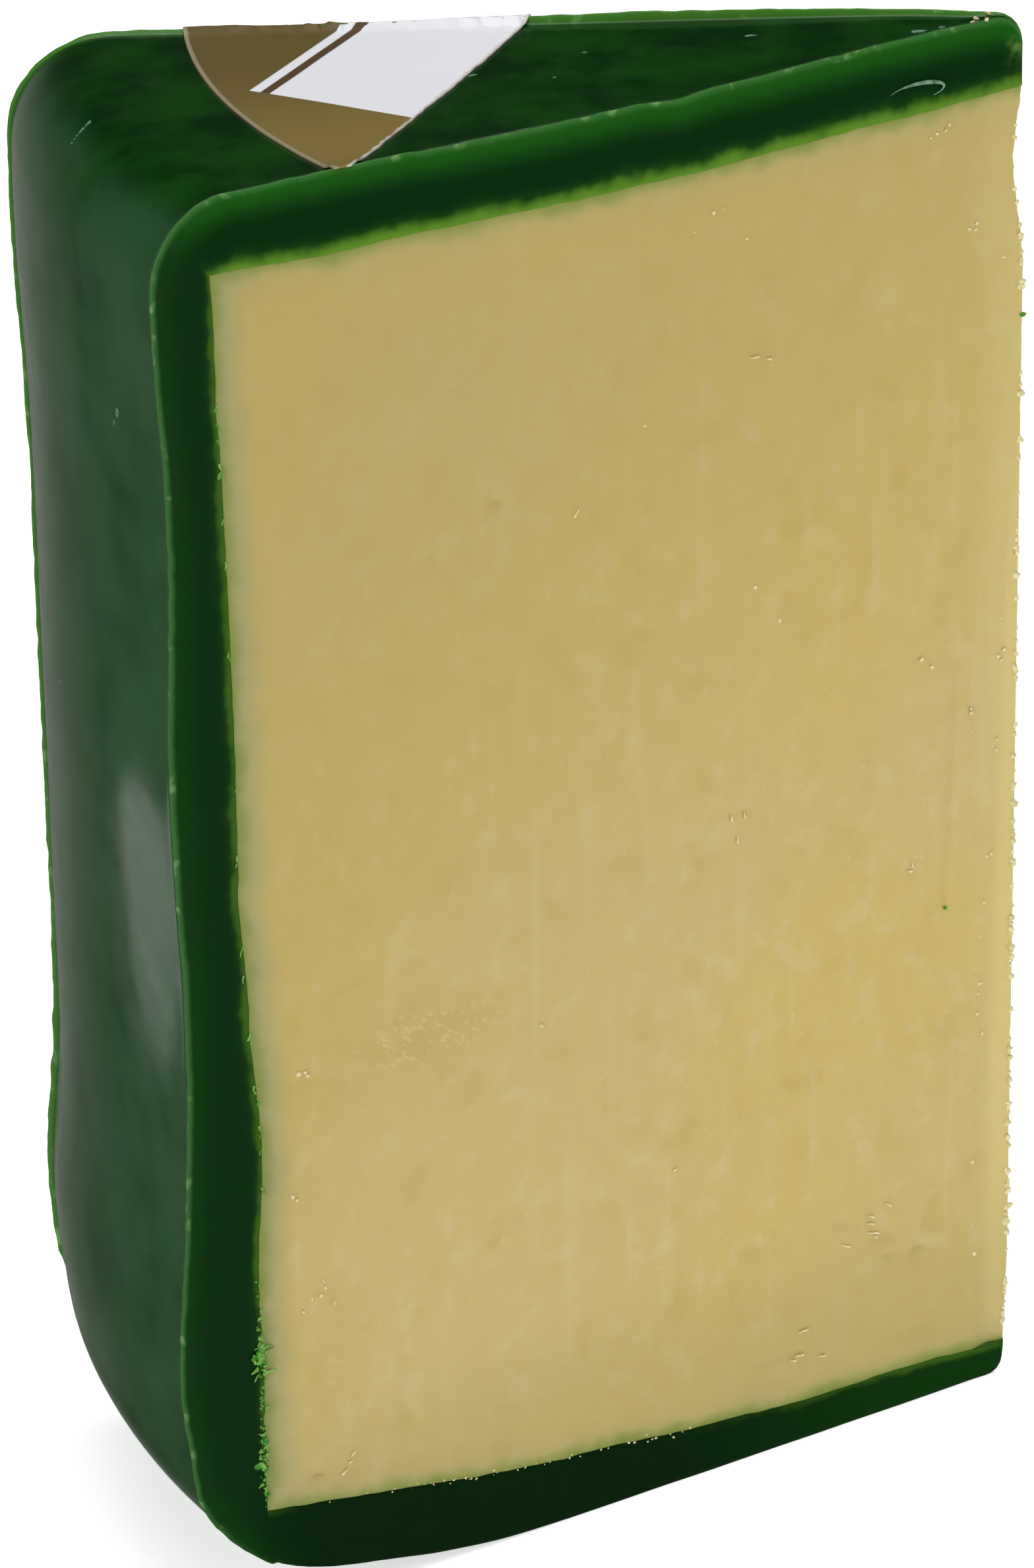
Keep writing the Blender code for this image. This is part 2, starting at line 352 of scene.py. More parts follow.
def settle(made, points, readings):
    """Puts the vertices in place, keeps what was measured there, and turns every face outwards."""
    mesh = made.data
    mesh.vertices.foreach_set("co", [value for point in points for value in point])
    for name in ("column", "row"):
        mesh.attributes.remove(mesh.attributes[name])
    for name, values in readings.items():
        mesh.attributes.new(name, "FLOAT", "POINT").data.foreach_set("value", values)
    mesh.update()
    only(made)
    bpy.ops.object.mode_set(mode="EDIT")
    bpy.ops.mesh.select_all(action="SELECT")
    bpy.ops.mesh.normals_make_consistent(inside=False)
    bpy.ops.object.mode_set(mode="OBJECT")


# %% [markdown]
# ## Relief on a cut face
#
# A point near a cut is moved square to that cut. The move dies away within a millimetre of the
# face, so the rows behind it never overtake it. Towards the tip both cuts are close together, so
# the relief there is held to a share of the cheese's own thickness. The knife went through wax
# and cheese in one stroke, so both share the same slow wave, and no step shows at their seam.

# %% Move points square to the cuts
RELIEF_DEPTH = 0.8
NEAR_NORMAL = Vector((math.sin(HALF_TURN), -math.cos(HALF_TURN), 0.0))
FAR_NORMAL = Vector((math.sin(HALF_TURN), math.cos(HALF_TURN), 0.0))


def stroke(reach, height, seed):
    """The slow wave that the knife left across wax and cheese alike."""
    wide = 0.16 * rough(reach / 19.0, height / 24.0, seed)
    return wide + 0.05 * rough(reach / 5.0, height / 7.0, seed)


def with_relief(turn, reach, height, near_relief, far_relief):
    """A polar point, moved out of the near cut and out of the far cut by what each relief says."""
    thickness = reach * 2.0 * HALF_TURN
    from_near = reach * (turn + HALF_TURN)
    from_far = reach * (HALF_TURN - turn)
    least = -0.3 * thickness
    near = max(near_relief, least) * math.exp(-((from_near / RELIEF_DEPTH) ** 2))
    far = max(far_relief, least) * math.exp(-((from_far / RELIEF_DEPTH) ** 2))
    return in_frame(turn, reach, height) + (NEAR_NORMAL * near + FAR_NORMAL * far) * MM


# %% [markdown]
# ## The coat of wax
#
# Cheese wax is soft enough to flow under a knife. Along the outside of each cut it was pushed
# out into a thin lip, which stands a few tenths of a millimetre proud of the rim and the top.
# The rest of the outside has the slow waves of a dipped coat. The foot of the far cut has a
# longer burr, where the knife left the wax. The coat's rungs are finest at the lip and at the
# seam, and its spin steps are finest at both cuts.

# %% Shape the coat
# About how far apart two rungs are along the outline
RUNG_SPACING = 0.6
COAT_TURNS = 56
COAT_EASE = 0.125
COAT_RUNGS = (0.0, 0.025, 0.06, 0.11, 0.19, 0.32, 0.5, 0.68, 0.82, 0.91, 0.965, 1.0)
LIP_WIDTH, FAR_LIP_WIDTH, LIP_SINK = 0.55, 0.22, 0.3
SEAM_OVERLAP = 0.12
BURR_LOW, BURR_HIGH = 13.2, 46.0
# Dips in the near lip of the top: reach, depth and spread. The knife raised the far one instead.
TOP_DIPS = ((45.5, 0.15, 5.0), (31.0, 0.3, 2.0), (51.0, 0.1, 1.5))
FAR_LIP_RAISED, FAR_LIP_REACH, FAR_LIP_SPREAD = 0.35, 27.0, 17.0
# A pale scuff on the near cut, beside the tip: its reach, its height and its spread
SCUFFED = (0.9, 111.9, 0.75)


def lip_height(along, far_side, rim_height, reach):
    """How far the lip stands out of the outline. The rim height is 0 on the top and the base."""
    seed = 40.0 if far_side else 20.0
    lip = LIP_SINK + 0.12 * rough(along / 5.0, seed) + 0.1 * rough(along / 1.3, seed + 3.0)
    if far_side and rim_height:
        burr = rise(rim_height, BURR_LOW, BURR_LOW + 1.0)
        burr *= fall(rim_height, BURR_HIGH - 18.0, BURR_HIGH)
        lip += burr * (0.18 + 0.14 * rough(along / 2.2, 61.0))
    elif far_side:
        lip += FAR_LIP_RAISED * bell(reach, FAR_LIP_REACH, FAR_LIP_SPREAD)
    elif not rim_height:
        for middle, depth, spread in TOP_DIPS:
            lip -= depth * bell(reach, middle, spread)
    return max(lip, 0.0)


def coat_ring(turn):
    """The coat at one turn: its displaced outside line and its seam line."""
    line = outside_line(turn)
    outside = []
    for index, (reach, height) in enumerate(line):
        before = line[max(index - 1, 0)]
        after = line[min(index + 1, ALONG_STEPS)]
        run, climb = after[0] - before[0], after[1] - before[1]
        length = math.hypot(run, climb)
        out = (-climb / length, run / length)
        along = index * RUNG_SPACING
        across = reach * turn
        wave = 0.08 * rough(along / 15.0, across / 12.0, 5.0)
        wave += 0.008 * rough(along / 3.5, across / 3.5, 6.0)
        rim_height = height if TOP_STEPS < index < TOP_STEPS + WALL_STEPS else 0.0
        near_share = bell(reach * (turn + HALF_TURN), 0.0, LIP_WIDTH)
        far_share = bell(reach * (HALF_TURN - turn), 0.0, FAR_LIP_WIDTH)
        lip = lip_height(along, False, rim_height, reach) * near_share
        lip += lip_height(along, True, rim_height, reach) * far_share
        wave *= 1.0 - max(near_share, far_share)
        grounded = rise(height, 0.0, 6.0)
        tapered = rise(reach, TIP_TRIM, 5.0)
        shift = (wave + lip - LIP_SINK) * grounded * tapered
        outside.append((reach + out[0] * shift, height + out[1] * shift))
    return outside


def coat_relief(reach, height, along, from_outside, from_cheese, seed):
    """Relief of the wax on a cut: rolled over at the lip, dragged in faint lines, uneven."""
    rolled = -0.22 * bell(from_outside, 0.0, 0.3)
    dragged = 0.02 * rough(from_outside / 0.5, along / 30.0, seed)
    uneven = 0.08 * rough(along / 9.0, from_outside / 4.0, seed + 1.0) * rise(from_cheese, 0.0, 1.5)
    feathered = 0.03 * bell(from_cheese, 0.0, 0.3)
    return stroke(reach, height, seed) + rolled + dragged + uneven + feathered


def shape_coat():
    made = spun_grid("wax_shell", ALONG_STEPS, len(COAT_RUNGS) - 1, COAT_TURNS)
    turns = [eased_turn(step, COAT_TURNS, COAT_EASE) for step in range(COAT_TURNS + 1)]
    rings = [(coat_ring(turn), seam_line(turn)) for turn in turns]
    wall_end = TOP_STEPS + WALL_STEPS
    points, readings = [], {}
    for column, row, step in grid_places(made, COAT_TURNS):
        turn, share = turns[step], COAT_RUNGS[row]
        outside, seam = rings[step][0][column], rings[step][1][column]
        thickness = math.dist(outside, seam)
        stretched = share * (1.0 + SEAM_OVERLAP / max(thickness, 1.0))
        reach = outside[0] + (seam[0] - outside[0]) * stretched
        height = outside[1] + (seam[1] - outside[1]) * stretched
        from_outside, from_cheese = thickness * share, thickness * (1.0 - share)
        place = (reach, height, column * RUNG_SPACING, from_outside, from_cheese)
        near_relief, far_relief = coat_relief(*place, 70.0), coat_relief(*place, 80.0)
        points.append(with_relief(turn, reach, height, near_relief, far_relief))
        under = rise(column, wall_end - 12, wall_end + 8)
        by_tip = bell(reach, SCUFFED[0], SCUFFED[2]) * bell(height, SCUFFED[1], SCUFFED[2])
        note(
            readings,
            from_outside=from_outside,
            from_cheese=from_cheese,
            from_cut=reach * (HALF_TURN - abs(turn)),
            on_top=fall(column, TOP_STEPS - 6, TOP_STEPS + 4),
            on_base=under,
            thin_base=under * fall(reach, 6.0, 34.0),
            far_side=rise(turn, 0.0, HALF_TURN),
            scuffed=by_tip * bell(reach * (turn + HALF_TURN), 0.0, 0.3),
        )
    settle(made, points, readings)
    bpy.ops.object.shade_smooth()
    print("wax_shell rings:", len(rings))
    return made


wax_shell = shape_coat()


def met_on_coat(start, way):
    """Where a ray first meets the coat, or None."""
    hit, place, normal, face = wax_shell.ray_cast(start, Vector(way))
    return place if hit else None


def surface_below(turn, reach):
    """The height of the coat's top under a polar point, or the outline's where there is none."""
    place = met_on_coat(in_frame(turn, reach, TRUCKLE_HEIGHT + 5.0), (0.0, 0.0, -1.0))
    on_top = place is not None and place.z / MM > TRUCKLE_HEIGHT - 12.0
    return place.z / MM if on_top else top_height(turn, reach) - LIP_SINK


def on_coat_top(turn, reach):
    """The point of the coat's top at a turn and a reach."""
    return in_frame(turn, reach, surface_below(turn, reach))


def on_coat_rim(turn, height):
    """The point of the coat's rim at a turn and a height."""
    start = in_frame(turn, WAIST_RADIUS + 10.0, height)
    place = met_on_coat(start, (math.cos(turn), -math.sin(turn), 0.0))
    return in_frame(turn, math.hypot(AXIS_X - place.x / MM, place.y / MM), height)


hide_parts("wax_coat")
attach(wax_shell, "root")

# %% [markdown]
# ## The cheese
#
# A firm, close cheese takes a clean cut, but never a flat one. There are slow waves where the
# knife wandered, faint upright drag lines, small pits, and a chafed patch where crumbs stuck to
# the blade. Some marks are listed one by one: two thin scratches, a few shallow scoops along
# the foot, and small bites. The tip's edge is bruised, with a dent near the top, and a narrow
# strip beside it leans back.

# %% Marks left by the knife
CHEESE_COLUMNS, CHEESE_ROWS, CHEESE_TURNS = 168, 250, 8
COLUMN_CROWDING = 0.045
# Chafed patches: middle reach and height, half width and half height, strength
CHAFED = ((53.5, 45.5, 7.0, 2.5, 1.0), (63.0, 21.0, 3.5, 5.0, 0.45))
# Scoops: the same, without a strength
SCOOPS = ((22.5, 8.0, 2.5, 0.4), (9.5, 6.5, 2.5, 0.4), (33.0, 26.5, 1.0, 1.0))
# Bites: middle reach and height, size
BITES = (
    (16.0, 18.5, 0.8),
    (12.0, 16.0, 1.0),
    (8.5, 14.0, 1.1),
    (11.5, 14.0, 0.9),
    (64.0, 11.5, 0.8),
)
# Scratches: reach and height of both ends, depth
SCRATCHES = (
    (5.5, 61.5, 6.5, 43.0, 0.14),
    (42.0, 75.5, 42.5, 66.0, 0.07),
    (22.0, 64.5, 24.5, 39.0, 0.02),
    (42.5, 98.0, 36.5, 97.5, -0.05),
)
DENT_HEIGHT, DENT_SPREAD, DENT_DEPTH = 103.0, 4.0, 0.75
TIP_FULLER = 0.3


def from_line(x, y, line):
    """Distance from a point to a short straight line."""
    x1, y1, x2, y2 = line
    length = (x2 - x1) ** 2 + (y2 - y1) ** 2
    share = min(max(((x - x1) * (x2 - x1) + (y - y1) * (y2 - y1)) / length, 0.0), 1.0)
    return math.hypot(x - x1 - share * (x2 - x1), y - y1 - share * (y2 - y1))


def chafing(reach, height):
    """1 in the middle of a chafed patch, 0 away from it."""
    most = 0.0
    for middle_reach, middle_height, half_width, half_height, strength in CHAFED:
        patch = bell(reach, middle_reach, half_width) * bell(height, middle_height, half_height)
        most = max(most, strength * patch)
    return most


def tip_edge(height):
    """How far the tip's edge has worn back at a height."""
    dent = DENT_DEPTH * bell(height, DENT_HEIGHT, DENT_SPREAD)
    nibbled = 0.14 * rough(height / 2.1, 9.0) + 0.12 * rough(height / 0.7, 12.0)
    fuller = TIP_FULLER * rise(height, 4.0, 12.0) * fall(height, 94.0, 99.0)
    return max(TIP_TRIM - 0.05 + dent + nibbled - fuller, 0.25 - 0.55 * fuller)


def strip_width(height):
    """The strip beside the tip that the second cut left leaning back, wider towards the foot."""
    return 1.0 + 2.6 * rise(90.0 - height, 0.0, 70.0)


def pits(reach, height, seed):
    """Small round pits, one to a cell of about 5 mm, most of them too shallow to see."""
    spot = Vector((reach / 5.0, height / 5.0, seed))
    nearest = noise.voronoi(spot)[0][0]
    depth = max(rough(reach / 11.0, height / 11.0, seed + 2.0) + 0.15, 0.0)
    return -0.35 * depth * fall(nearest, 0.04, 0.15)


def cheese_relief(reach, height, to_wax, seed, marked):
    drag = 0.016 * rough(reach / 0.9, height / 45.0, seed + 1.0)
    grain = 0.012 * rough(reach / 1.1, height / 1.1, seed + 3.0)
    lean = -0.17 * max(strip_width(height) - reach, 0.0)
    own = (drag + grain + pits(reach, height, seed)) * rise(to_wax, 0.0, 1.0)
    relief = stroke(reach, height, seed - 20.0) + lean + own
    if not marked:
        return relief
    combed = bell(to_wax, 4.5, 1.2) * rise(height, 12.0, 16.0) * fall(height, 30.0, 38.0)
    relief += 0.02 * combed * math.sin(2 * math.pi * to_wax / 0.9)
    along, over = reach * 0.8 + height * 0.6, height * 0.8 - reach * 0.6
    relief += 0.04 * chafing(reach, height) * max(rough(along / 1.0, over / 0.45, 31.0), 0.0)
    for middle, level, half_width, half_height in SCOOPS:
        relief -= 0.22 * bell(reach, middle, half_width) * bell(height, level, half_height)
    for middle, level, size in BITES:
        crescent = bell(reach, middle, size) * bell(height, level - 0.25 * size, 0.35 * size)
        relief -= 0.3 * crescent
    for x1, y1, x2, y2, depth in SCRATCHES:
        relief -= depth * bell(from_line(reach, height, (x1, y1, x2, y2)), 0.0, 0.35)
    return relief


# %% Shape the cheese


def shape_cheese():
    made = spun_grid("cheese_body", CHEESE_COLUMNS, CHEESE_ROWS, CHEESE_TURNS)
    points, readings = [], {}
    for column, row, step in grid_places(made, CHEESE_TURNS):
        turn = eased_turn(step, CHEESE_TURNS, 0.0)
        across, up = column / CHEESE_COLUMNS, row / CHEESE_ROWS
        across -= COLUMN_CROWDING * math.sin(2 * math.pi * across)
        height = 4.0 + 105.0 * up
        for attempt in range(2):
            rim, edge = seam_rim(turn, height), tip_edge(height)
            reach = edge + (rim - edge) * across
            base, top = seam_base(turn, reach), seam_top(turn, reach)
            height = base + (top - base) * up
        to_wax = min(rim - reach, top - height, height - base)
        near_relief = cheese_relief(reach, height, to_wax, 90.0, True)
        far_relief = cheese_relief(reach, height, to_wax, 100.0, False)
        points.append(with_relief(turn, reach, height, near_relief, far_relief))
        on_near_cut_only = chafing(reach, height) if step == 0 else 0.0
        note(
            readings,
            to_wax=to_wax,
            to_rim=rim - reach,
            to_tip=reach - edge,
            chafed=on_near_cut_only,
        )
    settle(made, points, readings)
    bpy.ops.object.shade_smooth_by_angle(angle=math.radians(50.0))
    return made


cheese_body = shape_cheese()
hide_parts("cheese")
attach(cheese_body, "root")

# %% [markdown]
# ## The label
#
# The label is thin coated paper, a disc with one straight side. It starts as a filled circle.
# Three bisects cut it: along both knife cuts and along the straight side. It is then divided
# into small triangles, so that it can lie on the wax and follow its hollows, and gets its
# thickness from Solidify.

# %% Cut and lay the label
LABEL_RADIUS = 55.0
LABEL_CENTRE = (-6.2, 4.0)
LABEL_SIDE_REACH, LABEL_SIDE_TURN = 32.9, math.radians(-40.6)
LABEL_SIDE_WAY = Vector((math.cos(LABEL_SIDE_TURN), math.sin(LABEL_SIDE_TURN), 0))
STRIP_WIDTH, STRIPS_INWARDS, STRIPS_ASIDE = 0.7, 38, 24
PAPER = 0.14
LABEL_CLEARANCE, LABEL_PROBE = 0.03, 0.3


def divide(point, normal, drop_outside=False):
    """Cuts the mesh being edited along an upright plane, and may drop what is outside it."""
    bpy.ops.mesh.select_all(action="SELECT")
    bpy.ops.mesh.bisect(
        plane_co=point, plane_no=normal, clear_outer=drop_outside, threshold=1e-7
    )


def shape_label():
    bpy.ops.object.select_all(action="DESELECT")
    centre = ((AXIS_X + LABEL_CENTRE[0]) * MM, LABEL_CENTRE[1] * MM, label_low.z)
    bpy.ops.mesh.primitive_circle_add(
        vertices=240, radius=LABEL_RADIUS * MM, fill_type="NGON", location=centre
    )
    made = bpy.context.active_object
    made.name = "paper_label"
    bpy.ops.object.transform_apply(location=True, rotation=True, scale=True)
    axis = Vector((AXIS_X * MM, 0, 0))
    bpy.ops.object.mode_set(mode="EDIT")
    divide(axis, NEAR_NORMAL, True)
    divide(axis, FAR_NORMAL, True)
    divide(axis - LABEL_SIDE_WAY * LABEL_SIDE_REACH * MM, LABEL_SIDE_WAY, True)
    for level in range(1, STRIPS_INWARDS + 1):
        inwards = LABEL_SIDE_REACH + STRIP_WIDTH * level
        divide(axis - LABEL_SIDE_WAY * inwards * MM, LABEL_SIDE_WAY)
    crosswise = Vector((-LABEL_SIDE_WAY.y, LABEL_SIDE_WAY.x, 0))
    middle = Vector(((label_low.x + label_high.x) / 2, 0, 0))
    for level in range(-STRIPS_ASIDE, STRIPS_ASIDE + 1):
        divide(middle + crosswise * level * STRIP_WIDTH * MM, crosswise)
    bpy.ops.mesh.select_all(action="SELECT")
    bpy.ops.mesh.quads_convert_to_tris()
    bpy.ops.mesh.normals_make_consistent(inside=False)
    bpy.ops.object.mode_set(mode="OBJECT")
    return made


def thickened(made, thickness, offset=-1.0):
    """Gives a sheet its thickness in millimetres, to one side of it by the offset."""
    only(made)
    sheet = made.modifiers.new("thickness", "SOLIDIFY")
    sheet.thickness = thickness * MM
    sheet.offset = offset
    bpy.ops.object.modifier_apply(modifier="thickness")
    return made


def lay_label(made):
    """Each vertex comes down onto the wax, with the paper's own slight cockle and a torn side."""
    side = Vector((AXIS_X * MM, 0, 0)) - LABEL_SIDE_WAY * LABEL_SIDE_REACH * MM
    torn_from = side.dot(LABEL_SIDE_WAY)
    for vertex in made.data.vertices:
        if torn_from - vertex.co.xy.to_3d().dot(LABEL_SIDE_WAY) < 0.02 * MM:
            torn_off = 0.12 + 0.2 * rough(vertex.co.y / MM / 1.1, 33.0)
            vertex.co -= LABEL_SIDE_WAY * torn_off * MM
        x, y = AXIS_X - vertex.co.x / MM, vertex.co.y / MM
        turn, reach = math.atan2(y, x), math.hypot(x, y)
        around = []
        for step in (-LABEL_PROBE, 0.0, LABEL_PROBE):
            around.append(surface_below(turn, reach + step))
            around.append(surface_below(turn + step / reach, reach))
        cockle = 0.03 * max(rough(x / 6.0, y / 6.0, 15.0), 0.0)
        vertex.co.z = (max(around) + LABEL_CLEARANCE + cockle) * MM
    if sum(face.normal.z for face in made.data.polygons) < 0:
        made.data.flip_normals()
    thickened(made, PAPER, 1.0)
    bpy.ops.object.shade_smooth_by_angle(angle=math.radians(30.0))
    print("paper_label has", len(made.data.polygons), "faces")
    return made


paper_label = lay_label(shape_label())
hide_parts("top_label")
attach(paper_label, "root")

# %% [markdown]
# ## Crumbs, shreds and flecks
#
# A knife that leaves the tip drags out crumbs, and the wax tears into short green shreds where
# it lets go of the cheese. Each is a small primitive, bent or dented out of shape, copied many
# times and joined, with its place picked by a seeded draw. On top lie a few pale flecks of dried
# wax and a curl that the blade scraped up.

# %% Helpers for small bits
draw = random.Random(7)
INWARDS = Vector((math.cos(HALF_TURN), math.sin(HALF_TURN), 0.0))
UPWARDS = Vector((0.0, 0.0, 1.0))


def on_near_cut(reach, height, proud=0.0):
    """A point on the cut that faces -Y, lifted off it by a little."""
    return in_frame(-HALF_TURN, reach, height) + NEAR_NORMAL * proud * MM


def joined(name, parts):
    """One object from many, with its place in its mesh."""
    bpy.ops.object.select_all(action="DESELECT")
    for part in parts:
        part.select_set(True)
    bpy.context.view_layer.objects.active = parts[0]
    bpy.ops.object.join()
    made = bpy.context.active_object
    made.name = name
    bpy.ops.object.transform_apply(location=True, rotation=True, scale=True)
    bpy.ops.object.shade_smooth()
    print(name, "is", len(parts), "bits,", len(made.data.polygons), "faces")
    return made


def crumb(place, size, seed):
    """A small lump: an icosphere with each vertex pushed in or out."""
    bpy.ops.object.select_all(action="DESELECT")
    bpy.ops.mesh.primitive_ico_sphere_add(subdivisions=2, radius=size * MM, location=place)
    made = bpy.context.active_object
    for vertex in made.data.vertices:
        direction = vertex.co.normalized() * 1.6
        vertex.co *= 0.8 + 0.45 * rough(direction.x + seed, direction.y, direction.z)
    made.scale = (draw.uniform(0.7, 1.1), draw.uniform(0.6, 1.0), draw.uniform(0.7, 1.5))
    made.rotation_euler = [draw.uniform(0, math.pi) for axis in range(3)]
    return made


def strand(place, direction, length, width, seed, lifted=0.22, curled=0.35):
    """A torn shred: a flat grid, narrowed to its end and curled, then given a thickness."""
    made = new_grid(7, 1)
    side = direction.cross(NEAR_NORMAL).normalized()
    for vertex in made.data.vertices:
        share = vertex.co.x + 0.5
        across = vertex.co.y * width * (1.0 - 0.75 * share)
        curl = curled * length * math.sin(2.2 * share + seed) * share
        lift = lifted * length * share * share + 0.03
        point = direction * length * share + side * (across + curl) + NEAR_NORMAL * lift
        vertex.co = place + point * MM
    return thickened(made, 0.09)


def slanted(degrees):
    """A direction in the near cut's plane: 0 degrees is towards the rim, 90 is up."""
    angle = math.radians(degrees)
    return INWARDS * math.cos(angle) + UPWARDS * math.sin(angle)


# %% Cheese crumbs
TIP_CRUMBS, STRIP_CRUMBS, FOOT_CRUMBS = 130, 26, 46
# Each cluster on the near cut: its middle's reach and height, its spread, and how many it has
SPECK_CLUSTERS = (
    (64.5, 45.5, 0.8, 3), (65.5, 35.5, 0.5, 2), (63.0, 26.5, 1.5, 6), (5.0, 58.5, 1.5, 3),
    (8.5, 65.0, 1.5, 2), (25.0, 69.5, 5.0, 2), (43.5, 43.0, 0.5, 1), (34.0, 90.0, 0.5, 1),
    (8.0, 107.0, 1.5, 4), (27.0, 104.5, 2.5, 4), (4.5, 99.0, 3.0, 4),
)
# Crumbs dropped on the wax beside the tip: reach and degrees
TIP_TOP_CRUMBS = ((4.0, 3.0), (3.0, 8.0), (3.5, -9.0), (4.5, -4.0))
# Flakes also have a length, and the angle they lie at in degrees
FLAKE_CLUSTERS = (
    (25.5, 54.5, 1.5, 3, 1.0, 100), (9.5, 47.0, 0.5, 2, 1.0, 125), (23.0, 92.5, 1.0, 2, 1.1, 175),
    (12.5, 16.0, 2.5, 6, 1.3, 145), (20.0, 9.0, 4.0, 4, 1.4, 165), (62.0, 11.0, 1.5, 3, 0.9, 40),
    (40.0, 84.0, 0.5, 1, 1.6, 40), (32.0, 27.5, 0.5, 1, 0.8, 30),
)


def make_crumbs():
    parts = []
    for index in range(TIP_CRUMBS):
        height = 4.5 + 103.0 * draw.random() ** 1.25
        size = draw.uniform(0.18, 0.4)
        reach = tip_edge(height) + draw.uniform(0.1, 0.6) * size
        turn = draw.choice((-0.9, -0.5, 0.0, 0.9)) * HALF_TURN
        parts.append(crumb(in_frame(turn, reach, height), size, index * 3.1))
    for index in range(STRIP_CRUMBS):
        height = draw.uniform(5.0, 70.0)
        place = on_near_cut(strip_width(height) + draw.uniform(-0.6, 0.3), height, -0.03)
        parts.append(crumb(place, draw.uniform(0.1, 0.22), 400 + index * 2.3))
    for middle, level, spread, count in SPECK_CLUSTERS:
        for index in range(count):
            reach, height = draw.gauss(middle, spread / 2), draw.gauss(level, spread / 2)
            place = on_near_cut(reach, height, 0.05)
            parts.append(crumb(place, draw.uniform(0.12, 0.22), level + index))
    for middle, level, spread, count, length, degrees in FLAKE_CLUSTERS:
        for index in range(count):
            reach, height = draw.gauss(middle, spread / 2), draw.gauss(level, spread / 2)
            direction = slanted(draw.gauss(degrees, 15.0))
            place = on_near_cut(reach, height, 0.02)
            length_now = length * draw.uniform(0.4, 0.8)
            parts.append(strand(place, direction, length_now, 0.2, level + index, 0.04, 0.08))
    for index in range(FOOT_CRUMBS):
        reach = draw.uniform(30.0, 66.0)
        place = on_near_cut(reach, seam_base(-HALF_TURN, reach) + draw.gauss(0.1, 0.14), 0.0)
        parts.append(crumb(place, draw.uniform(0.07, 0.15), 800 + index * 1.7))
    for reach, degrees in TIP_TOP_CRUMBS:
        bit = crumb(on_coat_top(math.radians(degrees), reach), 0.25, 860 + reach)
        bit.scale = (1.2, 0.9, 0.5)
        parts.append(bit)
    return joined("cheese_crumbs", parts)


cheese_crumbs = make_crumbs()
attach(cheese_crumbs, "root")

# %% Wax shreds
SHRED_COUNT, SLIVER_COUNT = 150, 24
SHRED_LOW, SHRED_HIGH = 9.6, 29.5
# The heights where the torn wax gathered, and how far each clump spreads
SHRED_CLUMPS = ((23.0, 0.7), (18.5, 0.9), (14.5, 1.0), (10.5, 0.5))
# Scraps of wax left on the tip's edge: height and size
TIP_SCRAPS = ((90.5, 0.32), (50.0, 0.14))
# A dot of wax on the cut: reach and height
WAX_DOT = (6.55, 42.9)


def make_shreds():
    parts = []
    for index in range(SHRED_COUNT):
        middle, spread = SHRED_CLUMPS[index % len(SHRED_CLUMPS)]
        height = max(draw.gauss(middle, spread), SHRED_LOW)
        outwards, length = draw.uniform(-0.2, 0.6), 0.3 + 0.8 * draw.random() ** 2
        if index % 2:
            height = SHRED_LOW + (SHRED_HIGH - SHRED_LOW) * draw.random()
            outwards, length = draw.uniform(-0.15, 0.25), 0.15 + 0.4 * draw.random() ** 2
        place = on_near_cut(seam_rim(-HALF_TURN, height) + outwards, height, 0.03)
        direction = slanted(draw.gauss(110.0, 50.0))
        if index % 4 < 2:
            parts.append(strand(place, direction, length, draw.uniform(0.14, 0.34), index))
        else:
            parts.append(crumb(place, draw.uniform(0.08, 0.1 + 0.25 * length), index * 1.9))
    for index in range(SLIVER_COUNT):
        height = draw.uniform(30.0, 100.0)
        place = on_near_cut(seam_rim(-HALF_TURN, height) + draw.uniform(-0.1, 0.1), height, 0.0)
        direction = Vector((0, 0, draw.choice((-1.0, 1.0))))
        length, width = draw.uniform(0.3, 0.8), draw.uniform(0.1, 0.25)
        parts.append(strand(place, direction, length, width, index))
    parts.append(crumb(on_near_cut(*WAX_DOT, 0.05), 0.22, 33.0))
    for height, size in TIP_SCRAPS:
        parts.append(crumb(in_frame(-0.9 * HALF_TURN, tip_edge(height), height), size, height))
    return joined("wax_shreds", parts)


wax_shreds = make_shreds()
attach(wax_shreds, "root")

# %% Flecks on the top and the scraped curl
# Each fleck: its reach, its degrees, its length and its width
TOP_FLECKS = (
    (9.0, -6.0, 1.5, 0.7), (7.0, -5.0, 0.7, 0.4), (21.0, 5.0, 1.2, 0.35), (37.0, -2.0, 0.4, 0.25),
    (33.5, 4.5, 0.5, 0.25), (42.5, 1.0, 0.9, 0.3),
)
CURL_CENTRE, CURL_SIZE, CURL_WIDTH, CURL_STEPS = (10.0, 110.2), (2.4, 0.7), 0.28, 18
# A scraped line across the shoulder: the turn and the reach of both ends
SCRAPE_FROM, SCRAPE_TO, SCRAPE_BITS = (math.radians(0.8), 72.3), (math.radians(1.5), 70.8), 7
# Nicks on the rim: degrees, height and size
RIM_NICKS = ((-9.5, 97.5, 0.4), (-9.0, 96.5, 0.2), (3.0, 70.0, 0.15), (6.0, 88.0, 0.15))


def scraped_curl():
    """A thin ribbon of wax that the blade scraped up: it loops over and comes back to the seam."""
    made = new_grid(CURL_STEPS, 1)
    for vertex in made.data.vertices:
        share = vertex.co.x + 0.5
        angle = math.radians(15.0 + 215.0 * share)
        width = CURL_WIDTH * math.sin(math.pi * share) ** 2 + 0.05
        reach = CURL_CENTRE[0] + (CURL_SIZE[0] + vertex.co.y * width) * math.cos(angle)
        height = CURL_CENTRE[1] + (CURL_SIZE[1] + vertex.co.y * width) * math.sin(angle)
        proud = 0.04 + 0.18 * math.sin(math.pi * share)
        vertex.co = on_near_cut(reach, height, proud)
    return thickened(made, 0.08)


